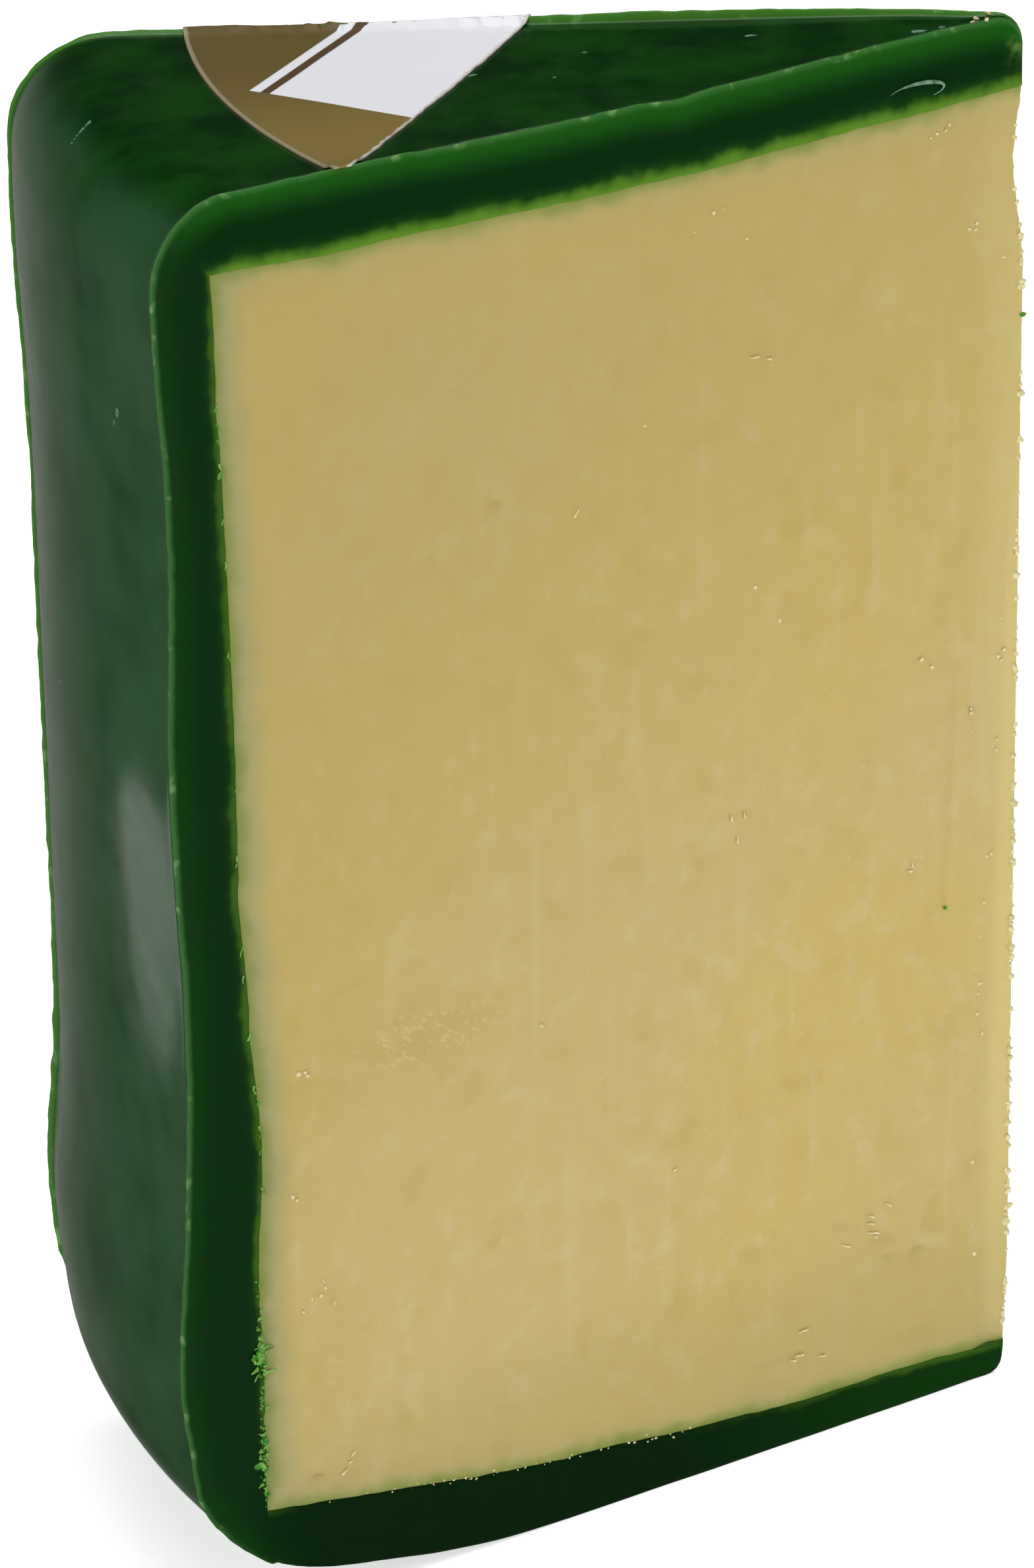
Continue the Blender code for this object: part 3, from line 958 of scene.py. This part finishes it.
def make_flecks():
    parts = []
    for index, (reach, degrees, length, width) in enumerate(TOP_FLECKS):
        bit = crumb(on_coat_top(math.radians(degrees), reach), 0.5, 900 + index * 5.0)
        bit.rotation_euler = (0, 0, draw.uniform(-0.4, 0.4))
        bit.scale = (length, width, 0.18)
        parts.append(bit)
    parts.append(scraped_curl())
    for index in range(SCRAPE_BITS):
        share = index / (SCRAPE_BITS - 1)
        turn = SCRAPE_FROM[0] + (SCRAPE_TO[0] - SCRAPE_FROM[0]) * share
        reach = SCRAPE_FROM[1] + (SCRAPE_TO[1] - SCRAPE_FROM[1]) * share
        bit = crumb(on_coat_top(turn, reach), 0.14 + 0.12 * share, 950 + share * 7.0)
        bit.scale = (1.1, 0.8, 0.45)
        bit.rotation_euler = (0, -0.8, -turn)
        parts.append(bit)
    for index, (degrees, height, size) in enumerate(RIM_NICKS):
        turn = math.radians(degrees)
        bit = crumb(on_coat_rim(turn, height), size, 970 + index * 3.0)
        bit.scale = (0.3, 0.8, 1.2)
        bit.rotation_euler = (0, 0, -turn)
        parts.append(bit)
    return joined("wax_flecks", parts)


wax_flecks = make_flecks()
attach(wax_flecks, "root")

# %% [markdown]
# ## Materials
#
# Colours are written as the hex values that a picture editor shows, and one function turns them
# into the linear values that Blender mixes light with. A second function adds any node, with its
# properties, its values and its links, so that each material below reads as a short recipe.

# %% Colour and node helpers


def linear(code):
    """An sRGB hex colour as linear red, green, blue and alpha."""
    values = []
    for start in (1, 3, 5):
        share = int(code[start : start + 2], 16) / 255
        values.append(share / 12.92 if share <= 0.04045 else ((share + 0.055) / 1.055) ** 2.4)
    return (*values, 1.0)


def add(tree, kind, inputs=None, **settings):
    """Adds a node, sets its properties, and fills its inputs with values or with other outputs."""
    node = tree.nodes.new(kind)
    for name, value in settings.items():
        setattr(node, name, value)
    for key, value in (inputs or {}).items():
        if isinstance(value, bpy.types.NodeSocket):
            tree.links.new(value, node.inputs[key])
        else:
            node.inputs[key].default_value = value
    return node


MIX_FACTOR, MIX_FIRST, MIX_SECOND, MIX_RESULT = 0, 6, 7, 2


def blend(tree, factor, first, second, mode="MIX"):
    """One colour over another, by a factor that is a number or an output."""
    inputs = {MIX_FACTOR: factor, MIX_FIRST: first, MIX_SECOND: second}
    node = add(tree, "ShaderNodeMix", inputs, data_type="RGBA", blend_type=mode)
    return node.outputs[MIX_RESULT]


def fade(tree, value, start, end, low=0.0, high=1.0):
    """A value turned into a smooth share, low at the start and high at the end."""
    inputs = {"Value": value, "From Min": start, "From Max": end, "To Min": low, "To Max": high}
    node = add(tree, "ShaderNodeMapRange", inputs, interpolation_type="SMOOTHSTEP")
    return node.outputs["Result"]


def maths(tree, operation, first, second=0.0):
    node = add(tree, "ShaderNodeMath", {0: first, 1: second}, operation=operation)
    return node.outputs["Value"]


def times(tree, first, *others):
    """Two or more values multiplied."""
    for other in others:
        first = maths(tree, "MULTIPLY", first, other)
    return first


def reading(tree, name):
    """A value that was measured at each vertex."""
    return add(tree, "ShaderNodeAttribute", attribute_name=name).outputs["Fac"]


def part_of(tree, vector, axis):
    """One of a vector's three parts."""
    return add(tree, "ShaderNodeSeparateXYZ", {"Vector": vector}).outputs[axis]


def reach_along(tree, vector, way):
    """How far a vector goes in a direction."""
    node = add(tree, "ShaderNodeVectorMath", {0: vector, 1: way}, operation="DOT_PRODUCT")
    return node.outputs["Value"]


def dress(piece, finish):
    piece.data.materials.clear()
    piece.data.materials.append(finish)


def new_material(name):
    """A material with only its Principled shader, and object coordinates in metres."""
    made = bpy.data.materials.new(name)
    made.use_nodes = True
    tree = made.node_tree
    shader = tree.nodes["Principled BSDF"]
    place = add(tree, "ShaderNodeTexCoord").outputs["Object"]
    return made, tree, shader, place


def speckle(tree, place, size_mm, detail=2.0, stretch=(1.0, 1.0, 1.0)):
    """Noise whose patches are about size_mm across, drawn out along an axis by stretch."""
    scale = tuple(1.0 / (size_mm * MM * part) for part in stretch)
    mapped = add(tree, "ShaderNodeMapping", {"Vector": place, "Scale": scale}).outputs["Vector"]
    inputs = {"Vector": mapped, "Scale": 1.0, "Detail": detail, "Roughness": 0.55}
    return add(tree, "ShaderNodeTexNoise", inputs).outputs["Fac"]


def slanted_streaks(tree, place):
    """Noise in short dashes that run down to the right across a cut."""
    inputs = {"Vector": place, "Rotation": (0.0, math.radians(-37.0), 0.0)}
    leaned = add(tree, "ShaderNodeMapping", inputs).outputs["Vector"]
    return speckle(tree, leaned, 0.38, 1.0, (2.4, 2.4, 1.0))


# %% [markdown]
# ### Firm cow's milk cheese, cut
#
# Pressed curd of a firm cheese is a pale buff yellow, slightly see-through, and mottled where
# the curds knitted together: paler where there is more fat, deeper where it is drier. Its cut
# face has a soft satin shine from butterfat. Beside the wax and near the foot it is greyer, and
# at the thin tip it is yellower, because light gets through it.

# %% Cheese material
CURD, CURD_YELLOW, CURD_OCHRE, CURD_PALE = "#c5b172", "#c7b164", "#bba354", "#d0c393"
CURD_BY_WAX, CURD_STAINED, CURD_AT_TIP, CURD_CHAFED = "#9f9b68", "#7f8e3c", "#d0c07e", "#dcd1a2"
CURD_DEEPER = "#ab9a58"
# The cheese is darker and more ochre towards its top and its rim, most where those two meet
DEEPER_CORNER = (-0.6, 0.0, 1.0)


def cheese_material():
    made, tree, shader, place = new_material("cut_firm_cheese")
    to_wax, to_rim = reading(tree, "to_wax"), reading(tree, "to_rim")
    to_tip, chafed = reading(tree, "to_tip"), reading(tree, "chafed")
    level = part_of(tree, place, "Z")
    zones = fade(tree, speckle(tree, place, 34.0, 1.0), 0.36, 0.64)
    blobs = speckle(tree, place, 3.6, 1.0)
    milky = speckle(tree, place, 2.2, 3.0, (1.0, 1.0, 1.15))
    drags = speckle(tree, place, 1.3, 1.0, (1.0, 1.0, 14.0))
    grains = speckle(tree, place, 0.7, 1.0)
    colour = blend(tree, zones, linear(CURD), linear(CURD_YELLOW))
    colour = blend(tree, fade(tree, blobs, 0.56, 0.74, 0.0, 0.37), colour, linear(CURD_OCHRE))
    colour = blend(tree, fade(tree, milky, 0.5, 0.74, 0.0, 0.34), colour, linear(CURD_PALE))
    colour = blend(tree, fade(tree, drags, 0.56, 0.8, 0.0, 0.2), colour, linear(CURD_PALE))
    colour = blend(tree, fade(tree, grains, 0.7, 0.78, 0.0, 0.35), colour, linear(CURD_PALE))
    colour = blend(tree, fade(tree, to_tip, 0.3, 5.0, 0.7, 0.0), colour, linear(CURD_AT_TIP))
    colour = blend(tree, times(tree, chafed, 0.5), colour, linear(CURD_OCHRE))
    streaks = fade(tree, slanted_streaks(tree, place), 0.55, 0.66)
    scraped = times(tree, fade(tree, chafed, 0.1, 0.8), streaks, 0.3)
    colour = blend(tree, scraped, colour, linear(CURD_CHAFED))
    wobble = times(tree, speckle(tree, place, 2.6, 2.0), 1.6)
    from_stain = maths(tree, "ADD", to_wax, maths(tree, "SUBTRACT", wobble, 0.8))
    # Darker and more ochre towards the top and the rim.
    towards_corner = fade(tree, reach_along(tree, place, DEEPER_CORNER), 0.02, 0.125, 0.0, 0.62)
    colour = blend(tree, towards_corner, colour, linear(CURD_DEEPER))
    colour = blend(tree, fade(tree, to_wax, 2.0, 12.0, 0.15, 0.0), colour, linear(CURD_OCHRE))
    greyed = fade(tree, to_rim, 1.5, 5.0, 1.0, 0.3)
    margin = times(tree, fade(tree, from_stain, 0.2, 3.8, 1.0, 0.0), greyed)
    colour = blend(tree, margin, colour, linear(CURD_BY_WAX))
    low_down = fade(tree, level, 6.0 * MM, 22.0 * MM, 0.3, 0.0)
    colour = blend(tree, low_down, colour, linear(CURD_BY_WAX))
    stained = fade(tree, from_stain, -0.1, 1.5, 0.95, 0.0)
    colour = blend(tree, stained, colour, linear(CURD_STAINED))
    tree.links.new(colour, shader.inputs["Base Color"])
    sheen = fade(tree, speckle(tree, place, 2.5, 3.0), 0.3, 0.7, 0.42, 0.55)
    tree.links.new(sheen, shader.inputs["Roughness"])
    fine = speckle(tree, place, 0.35, 3.0)
    relief = maths(tree, "ADD", times(tree, fine, 0.4), drags)
    bump = add(tree, "ShaderNodeBump", {"Height": relief, "Strength": 0.2, "Distance": 0.05 * MM})
    tree.links.new(bump.outputs["Normal"], shader.inputs["Normal"])
    shader.inputs["IOR"].default_value = 1.45
    shader.inputs["Subsurface Weight"].default_value = 0.2
    shader.inputs["Subsurface Radius"].default_value = (1.0, 0.7, 0.3)
    shader.inputs["Subsurface Scale"].default_value = 1.2 * MM
    return made


dress(cheese_body, cheese_material())

# %% [markdown]
# ### Cheese wax, dipped and cut
#
# Cheese wax is paraffin with a strong green dye. Where it is thick it is nearly black-green.
# Where it is thin and feathers out over the pale cheese, light passes through it and it turns to
# bright leaf green and then to lime. Along the outside edge of each cut a painted glow stands for
# light let in through the outer skin, strongest under the top, and the rolled lips carry a painted
# highlight with small painted glints. Along the base, near the floor, the cut is painted darker as
# painted shade. The attributes measured on the coat say how thin the wax is, so the colour follows
# the shape from every side. The outside has faint grey patches on the rim and the base, partly a
# real bloom and partly a painted reflection.

# %% Wax material
# Among these colours: a painted glow for the cut's outer edge, painted highlights and a painted
# glint for the lips, painted shade for the cut's base band, and a bloom that is partly a painted
# reflection.
WAX_DEEP, WAX_COAT, WAX_LIT, WAX_LIP_HIGHLIGHT = "#072a09", "#154412", "#18560f", "#35722b"
WAX_WALL, WAX_INNER, WAX_FRINGE, WAX_BLOOM_AND_SHEEN = "#0c2c0e", "#1d420d", "#5c8a24", "#2e5032"
WAX_BURR_HIGHLIGHT, WAX_SCUFF, WAX_LIP_GLINT, WAX_BASE_SHADE = "#478a22", "#6a8a42", "#86b86a", "#052107"


def wax_material():
    made, tree, shader, place = new_material("dyed_cheese_wax")
    from_outside, from_cheese = reading(tree, "from_outside"), reading(tree, "from_cheese")
    from_cut, far_side = reading(tree, "from_cut"), reading(tree, "far_side")
    on_top, on_base = reading(tree, "on_top"), reading(tree, "on_base")
    thin_base, scuffed = reading(tree, "thin_base"), reading(tree, "scuffed")
    off_base = maths(tree, "SUBTRACT", 1.0, on_base)
    level = part_of(tree, place, "Z")
    cloudy = fade(tree, speckle(tree, place, 6.0, 3.0), 0.3, 0.7)
    skin = blend(tree, cloudy, linear(WAX_DEEP), linear(WAX_COAT))
    # Grey patches on the rim and the base: partly a real bloom on the wax, partly a painted
    # reflection.
    bloom_and_sheen = fade(tree, on_top, 0.2, 1.0, 0.9, 0.0)
    patchy = fade(tree, speckle(tree, place, 9.0, 4.0), 0.25, 0.7, 0.3)
    skin = blend(tree, times(tree, bloom_and_sheen, patchy), skin, linear(WAX_BLOOM_AND_SHEEN))
    face = blend(tree, fade(tree, on_top, 0.0, 1.0), linear(WAX_WALL), linear(WAX_DEEP))
    # Painted shade: the cut's band along the base, near the floor, is painted darker.
    face = blend(tree, on_base, face, linear(WAX_BASE_SHADE))
    # Painted glow: a bright green band along the outside edge of each cut stands for light let in
    # through the outer skin. It is strong under the top and faint on the wall, and it is kept off
    # the base band as painted shade.
    painted_glow_strength = blend(tree, on_top, (0.2, 0.2, 0.2, 1.0), (1.0, 1.0, 1.0, 1.0))
    wide = times(tree, fade(tree, from_outside, 0.1, 3.0, 1.0, 0.0), painted_glow_strength, off_base)
    face = blend(tree, wide, face, linear(WAX_LIT))
    # Painted glow: near the tip, the cut's base band is painted a little brighter green again.
    face = blend(tree, times(tree, thin_base, 0.25), face, linear(WAX_LIT))
    ragged = maths(tree, "SUBTRACT", speckle(tree, place, 2.4, 2.0), 0.5)
    from_seam = maths(tree, "ADD", from_cheese, times(tree, ragged, 1.5))
    inner_end = fade(tree, on_top, 0.0, 1.0, 1.4, 2.0)
    inner = times(tree, fade(tree, from_seam, 0.2, inner_end, 1.0, 0.0), off_base)
    inner = times(tree, inner, fade(tree, on_top, 0.0, 1.0, 0.4, 1.0))
    face = blend(tree, inner, face, linear(WAX_INNER))
    thin = times(tree, fade(tree, on_top, 0.0, 1.0, 0.35, 0.9), off_base)
    thin = maths(tree, "ADD", thin, times(tree, thin_base, 0.3))
    fringe_end = fade(tree, on_top, 0.0, 1.0, 0.75, 1.2)
    fringe = times(tree, fade(tree, from_seam, 0.0, fringe_end, 1.0, 0.0), thin)
    face = blend(tree, fringe, face, linear(WAX_FRINGE))
    scuffs = times(tree, scuffed, fade(tree, speckle(tree, place, 0.9, 3.0), 0.4, 0.6), 0.6)
    face = blend(tree, scuffs, face, linear(WAX_SCUFF))
    on_face = fade(tree, from_cut, 0.0, 0.6, 1.0, 0.0)
    colour = blend(tree, on_face, skin, face)
    # Painted highlight: the rolled lips at the outside edge of each cut are painted pale green, the
    # far lip brighter and yellower, with small pale painted glints, as if they caught the light.
    # The highlight is painted fainter low on the cut and kept off the base band, as painted shade.
    lip_out = fade(tree, from_outside, 0.0, 0.55, 1.0, 0.0)
    lip_cut = fade(tree, from_cut, 0.0, fade(tree, far_side, 0.0, 1.0, 0.5, 0.65), 1.0, 0.0)
    lip = times(tree, lip_out, lip_cut, off_base)
    lip = times(tree, lip, fade(tree, level, 5.0 * MM, 15.0 * MM, 0.3, 1.0))
    lip_highlight_colour = blend(tree, far_side, linear(WAX_LIP_HIGHLIGHT), linear(WAX_BURR_HIGHLIGHT))
    glints = fade(tree, speckle(tree, place, 1.6, 2.0), 0.58, 0.7, 0.0, 0.6)
    lip_highlight_colour = blend(tree, glints, lip_highlight_colour, linear(WAX_LIP_GLINT))
    colour = blend(tree, times(tree, lip, 0.85), colour, lip_highlight_colour)
    tree.links.new(colour, shader.inputs["Base Color"])
    shine = fade(tree, speckle(tree, place, 3.0, 4.0), 0.3, 0.7, 0.11, 0.18)
    shine = maths(tree, "ADD", shine, times(tree, lip, 0.4))
    tree.links.new(shine, shader.inputs["Roughness"])
    grain = speckle(tree, place, 1.6, 2.0)
    bump = add(tree, "ShaderNodeBump", {"Height": grain, "Strength": 0.08, "Distance": 0.04 * MM})
    tree.links.new(bump.outputs["Normal"], shader.inputs["Normal"])
    shader.inputs["IOR"].default_value = 1.43
    return made


dress(wax_shell, wax_material())

# %% [markdown]
# ### Smaller finishes
#
# The label is coated paper, printed in old gold with a plain white panel and a stripe, whose
# straight edges are drawn from distances to lines. The gold is painted lighter towards the near
# side as a painted sheen. Crumbs are the same cheese, drier and paler. Shreds are so thin that
# they are bright green. Flecks are wax whitened by scraping.

# %% Label, crumb, shred and fleck materials
PANEL_LEFT = ((-57.6, 1.1), (-46.4, 12.8))
PANEL_FOOT = ((-57.6, 1.1), (-49.2, -6.7))
STRIPE_GAP, STRIPE_WIDTH = 0.75, 0.85
GOLD_SHEEN_NEAR, GOLD_FAR, WHITE_PANEL, BROWN_LINE = "#877338", "#685725", "#fafaff", "#5a4326"
CUT_EDGE, TORN_EDGE = "#a59a7c", "#d9d0c4"


def line_distance(tree, place, start, end):
    """Distance in metres from a line on the label, positive to its left, as an output."""
    run, climb = end[0] - start[0], end[1] - start[1]
    length = math.hypot(run, climb)
    normal = (-climb / length, run / length, 0.0)
    offset = ((AXIS_X + start[0]) * normal[0] + start[1] * normal[1]) * MM
    return maths(tree, "SUBTRACT", reach_along(tree, place, normal), offset)


def label_material():
    made, tree, shader, place = new_material("coated_label_paper")
    soft = 0.06 * MM
    left = line_distance(tree, place, *PANEL_LEFT)
    above_foot = fade(tree, line_distance(tree, place, *PANEL_FOOT), -soft, soft)

    def band(start, end):
        """1 between two distances to the left of the white panel, above its foot."""
        begun = fade(tree, left, start - soft, start + soft)
        return times(tree, begun, fade(tree, left, end + soft, end - soft), above_foot)

    panel = times(tree, above_foot, fade(tree, left, soft, -soft))
    line = band(0.0, STRIPE_GAP * MM)
    stripe = band(STRIPE_GAP * MM, (STRIPE_GAP + STRIPE_WIDTH) * MM)
    # Painted sheen: the gold is painted lighter towards the near side of the label.
    sheen_across = fade(tree, part_of(tree, place, "Y"), -11.0 * MM, 9.0 * MM)
    colour = blend(tree, sheen_across, linear(GOLD_SHEEN_NEAR), linear(GOLD_FAR))
    colour = blend(tree, line, colour, linear(BROWN_LINE))
    colour = blend(tree, maths(tree, "MAXIMUM", panel, stripe), colour, linear(WHITE_PANEL))
    middle = ((AXIS_X + LABEL_CENTRE[0]) * MM, LABEL_CENTRE[1] * MM, 0.0)
    flat = add(tree, "ShaderNodeVectorMath", {0: place, 1: (1.0, 1.0, 0.0)}, operation="MULTIPLY")
    ends = {0: flat.outputs["Vector"], 1: middle}
    away = add(tree, "ShaderNodeVectorMath", ends, operation="DISTANCE").outputs["Value"]
    from_arc = maths(tree, "SUBTRACT", LABEL_RADIUS * MM, away)
    on_arc = fade(tree, from_arc, 0.2 * MM, 0.4 * MM, 0.85, 0.0)
    colour = blend(tree, on_arc, colour, linear(CUT_EDGE))
    torn_at = (AXIS_X * LABEL_SIDE_WAY.x - LABEL_SIDE_REACH) * MM
    inside = maths(tree, "SUBTRACT", torn_at, reach_along(tree, place, LABEL_SIDE_WAY))
    frayed = maths(tree, "ADD", inside, times(tree, speckle(tree, place, 0.7, 2.0), 0.5 * MM))
    on_tear = fade(tree, frayed, 0.45 * MM, 0.65 * MM, 0.9, 0.0)
    colour = blend(tree, on_tear, colour, linear(TORN_EDGE))
    tree.links.new(colour, shader.inputs["Base Color"])
    shader.inputs["Roughness"].default_value = 0.5
    return made


def plain_material(name, first, second, size_mm, roughness):
    """Two close colours in patches of a given size, for bits too small to show more."""
    made, tree, shader, place = new_material(name)
    patches = speckle(tree, place, size_mm, 2.0)
    colour = blend(tree, fade(tree, patches, 0.35, 0.65), linear(first), linear(second))
    tree.links.new(colour, shader.inputs["Base Color"])
    shader.inputs["Roughness"].default_value = roughness
    return made


finishes = {
    paper_label: label_material(),
    cheese_crumbs: plain_material("dry_cheese_crumb", "#e6dcae", "#d8cb90", 0.5, 0.6),
    wax_shreds: plain_material("thin_torn_wax", "#34861c", "#84b850", 0.6, 0.4),
    wax_flecks: plain_material("scraped_pale_wax", "#3c6b47", "#74977c", 0.6, 0.5),
}
for piece, finish in finishes.items():
    dress(piece, finish)
print("materials:", [finish.name for finish in finishes.values()])

# %% [markdown]
# ## Floor, light and camera
#
# The wedge stands on a plain white floor. Two soft boxes, one in front and one to the left, light
# the cut face, and a wide one above lights the floor and the top. The world is white to the
# camera and a dim grey to everything else, so that dark wax stays dark. In reflections it is a
# little brighter at the back and low on the left. A small card behind the rim lights nothing but
# the wax's gloss.

# %% Floor
bpy.ops.object.select_all(action="DESELECT")
bpy.ops.mesh.primitive_plane_add(size=6.0, location=(0, 0, 0))
floor = bpy.context.active_object
floor.name = "floor"
floor_finish, floor_tree, floor_shader, floor_place = new_material("matt_white_board")
floor_shader.inputs["Base Color"].default_value = linear("#f4f4f4")
floor_shader.inputs["Roughness"].default_value = 0.9
floor_shader.inputs["Emission Color"].default_value = linear("#ffffff")
floor_shader.inputs["Emission Strength"].default_value = 0.6
floor.data.materials.append(floor_finish)
floor.visible_glossy = False

# %% Lights and world
LOOK_AT = Vector((0.0, 0.0, 55.0)) * MM


def soft_box(name, place, width, height, watts, aim=LOOK_AT, along=None):
    """An area light that faces the wedge and is never seen itself, its width laid along a line."""
    light = bpy.data.lights.new(name, "AREA")
    light.shape = "ELLIPSE" if along else "RECTANGLE"
    light.size, light.size_y = width, height
    light.energy = watts
    holder = bpy.data.objects.new(name, light)
    holder.location = place
    holder.rotation_mode = "QUATERNION"
    facing = (aim - Vector(place)).to_track_quat("-Z", "Y")
    if along:
        across, up = facing @ Vector((1, 0, 0)), facing @ Vector((0, 1, 0))
        facing = facing @ Quaternion((0, 0, 1), math.atan2(along.dot(up), along.dot(across)))
    holder.rotation_quaternion = facing
    holder.visible_camera = False
    bpy.context.scene.collection.objects.link(holder)
    return holder


CARD_PLACE, CARD_AIM = Vector((-0.0894, 0.0583, 0.0144)), Vector((-0.035, -0.013, 0.057))
CARD_ALONG = Vector((-0.0182, -0.0255, -0.0150))
# Each box: its name, its place, its width and height in metres, and its watts
front = soft_box("front_box", (0.5, -0.65, 0.12), 0.5, 0.4, 2.3)
front.visible_glossy = False
soft_box("left_box", (-1.0, -0.7, 0.7), 0.6, 0.6, 7.0)
soft_box("top_box", (0.1, 0.1, 1.8), 1.8, 1.8, 23.0)
card = soft_box("rim_card", CARD_PLACE, 0.031, 0.018, 0.001, CARD_AIM, CARD_ALONG)
card.visible_diffuse = False

world = bpy.data.worlds.new("studio")
bpy.context.scene.world = world
world.use_nodes = True
sky = world.node_tree
sky.nodes.clear()
direction = add(sky, "ShaderNodeTexCoord").outputs["Generated"]
upwards = part_of(sky, direction, "Z")
behind = fade(sky, reach_along(sky, direction, (0.3, 0.95, 0.0)), 0.6, 1.0, 0.05, 0.31)
mirrored = times(sky, behind, fade(sky, upwards, -0.2, 0.2, 1.0, 0.1))
low_left = fade(sky, reach_along(sky, direction, (-0.6, 0.67, -0.43)), 0.9, 0.99, 0.0, 0.1)
mirrored = maths(sky, "MAXIMUM", mirrored, low_left)
reflected = add(sky, "ShaderNodeBackground", {"Color": linear("#eaf2e2"), "Strength": mirrored})
ambient = add(sky, "ShaderNodeBackground", {"Color": linear("#eef0f2"), "Strength": 0.06})
white = add(sky, "ShaderNodeBackground", {"Color": linear("#ffffff"), "Strength": 1.0})
ray = add(sky, "ShaderNodeLightPath")
lit = {0: ray.outputs["Is Glossy Ray"], 1: ambient.outputs[0], 2: reflected.outputs[0]}
lit = add(sky, "ShaderNodeMixShader", lit)
seen = {0: ray.outputs["Is Camera Ray"], 1: lit.outputs[0], 2: white.outputs[0]}
seen = add(sky, "ShaderNodeMixShader", seen)
add(sky, "ShaderNodeOutputWorld", {"Surface": seen.outputs[0]})
bpy.context.scene.view_settings.view_transform = "Standard"

# %% Camera
CAMERA_AIM = Vector((-2.26, 0.23, 57.89)) * MM
CAMERA_AZIMUTH, CAMERA_ELEVATION = math.radians(-17.43), math.radians(25.24)
CAMERA_ROLL = math.radians(-0.85)
CAMERA_DISTANCE = 0.570
CAMERA_LENS = 174.1

camera = bpy.data.objects.new("camera", bpy.data.cameras.new("camera"))
bpy.context.scene.collection.objects.link(camera)
towards_camera = Vector(
    (
        math.sin(CAMERA_AZIMUTH) * math.cos(CAMERA_ELEVATION),
        -math.cos(CAMERA_AZIMUTH) * math.cos(CAMERA_ELEVATION),
        math.sin(CAMERA_ELEVATION),
    )
)
camera.location = CAMERA_AIM + towards_camera * CAMERA_DISTANCE
camera.rotation_mode = "QUATERNION"
level_view = (-towards_camera).to_track_quat("-Z", "Y")
camera.rotation_quaternion = level_view @ Quaternion((0, 0, 1), CAMERA_ROLL)
camera.data.lens = CAMERA_LENS
camera.data.clip_start = 0.01
bpy.context.scene.camera = camera
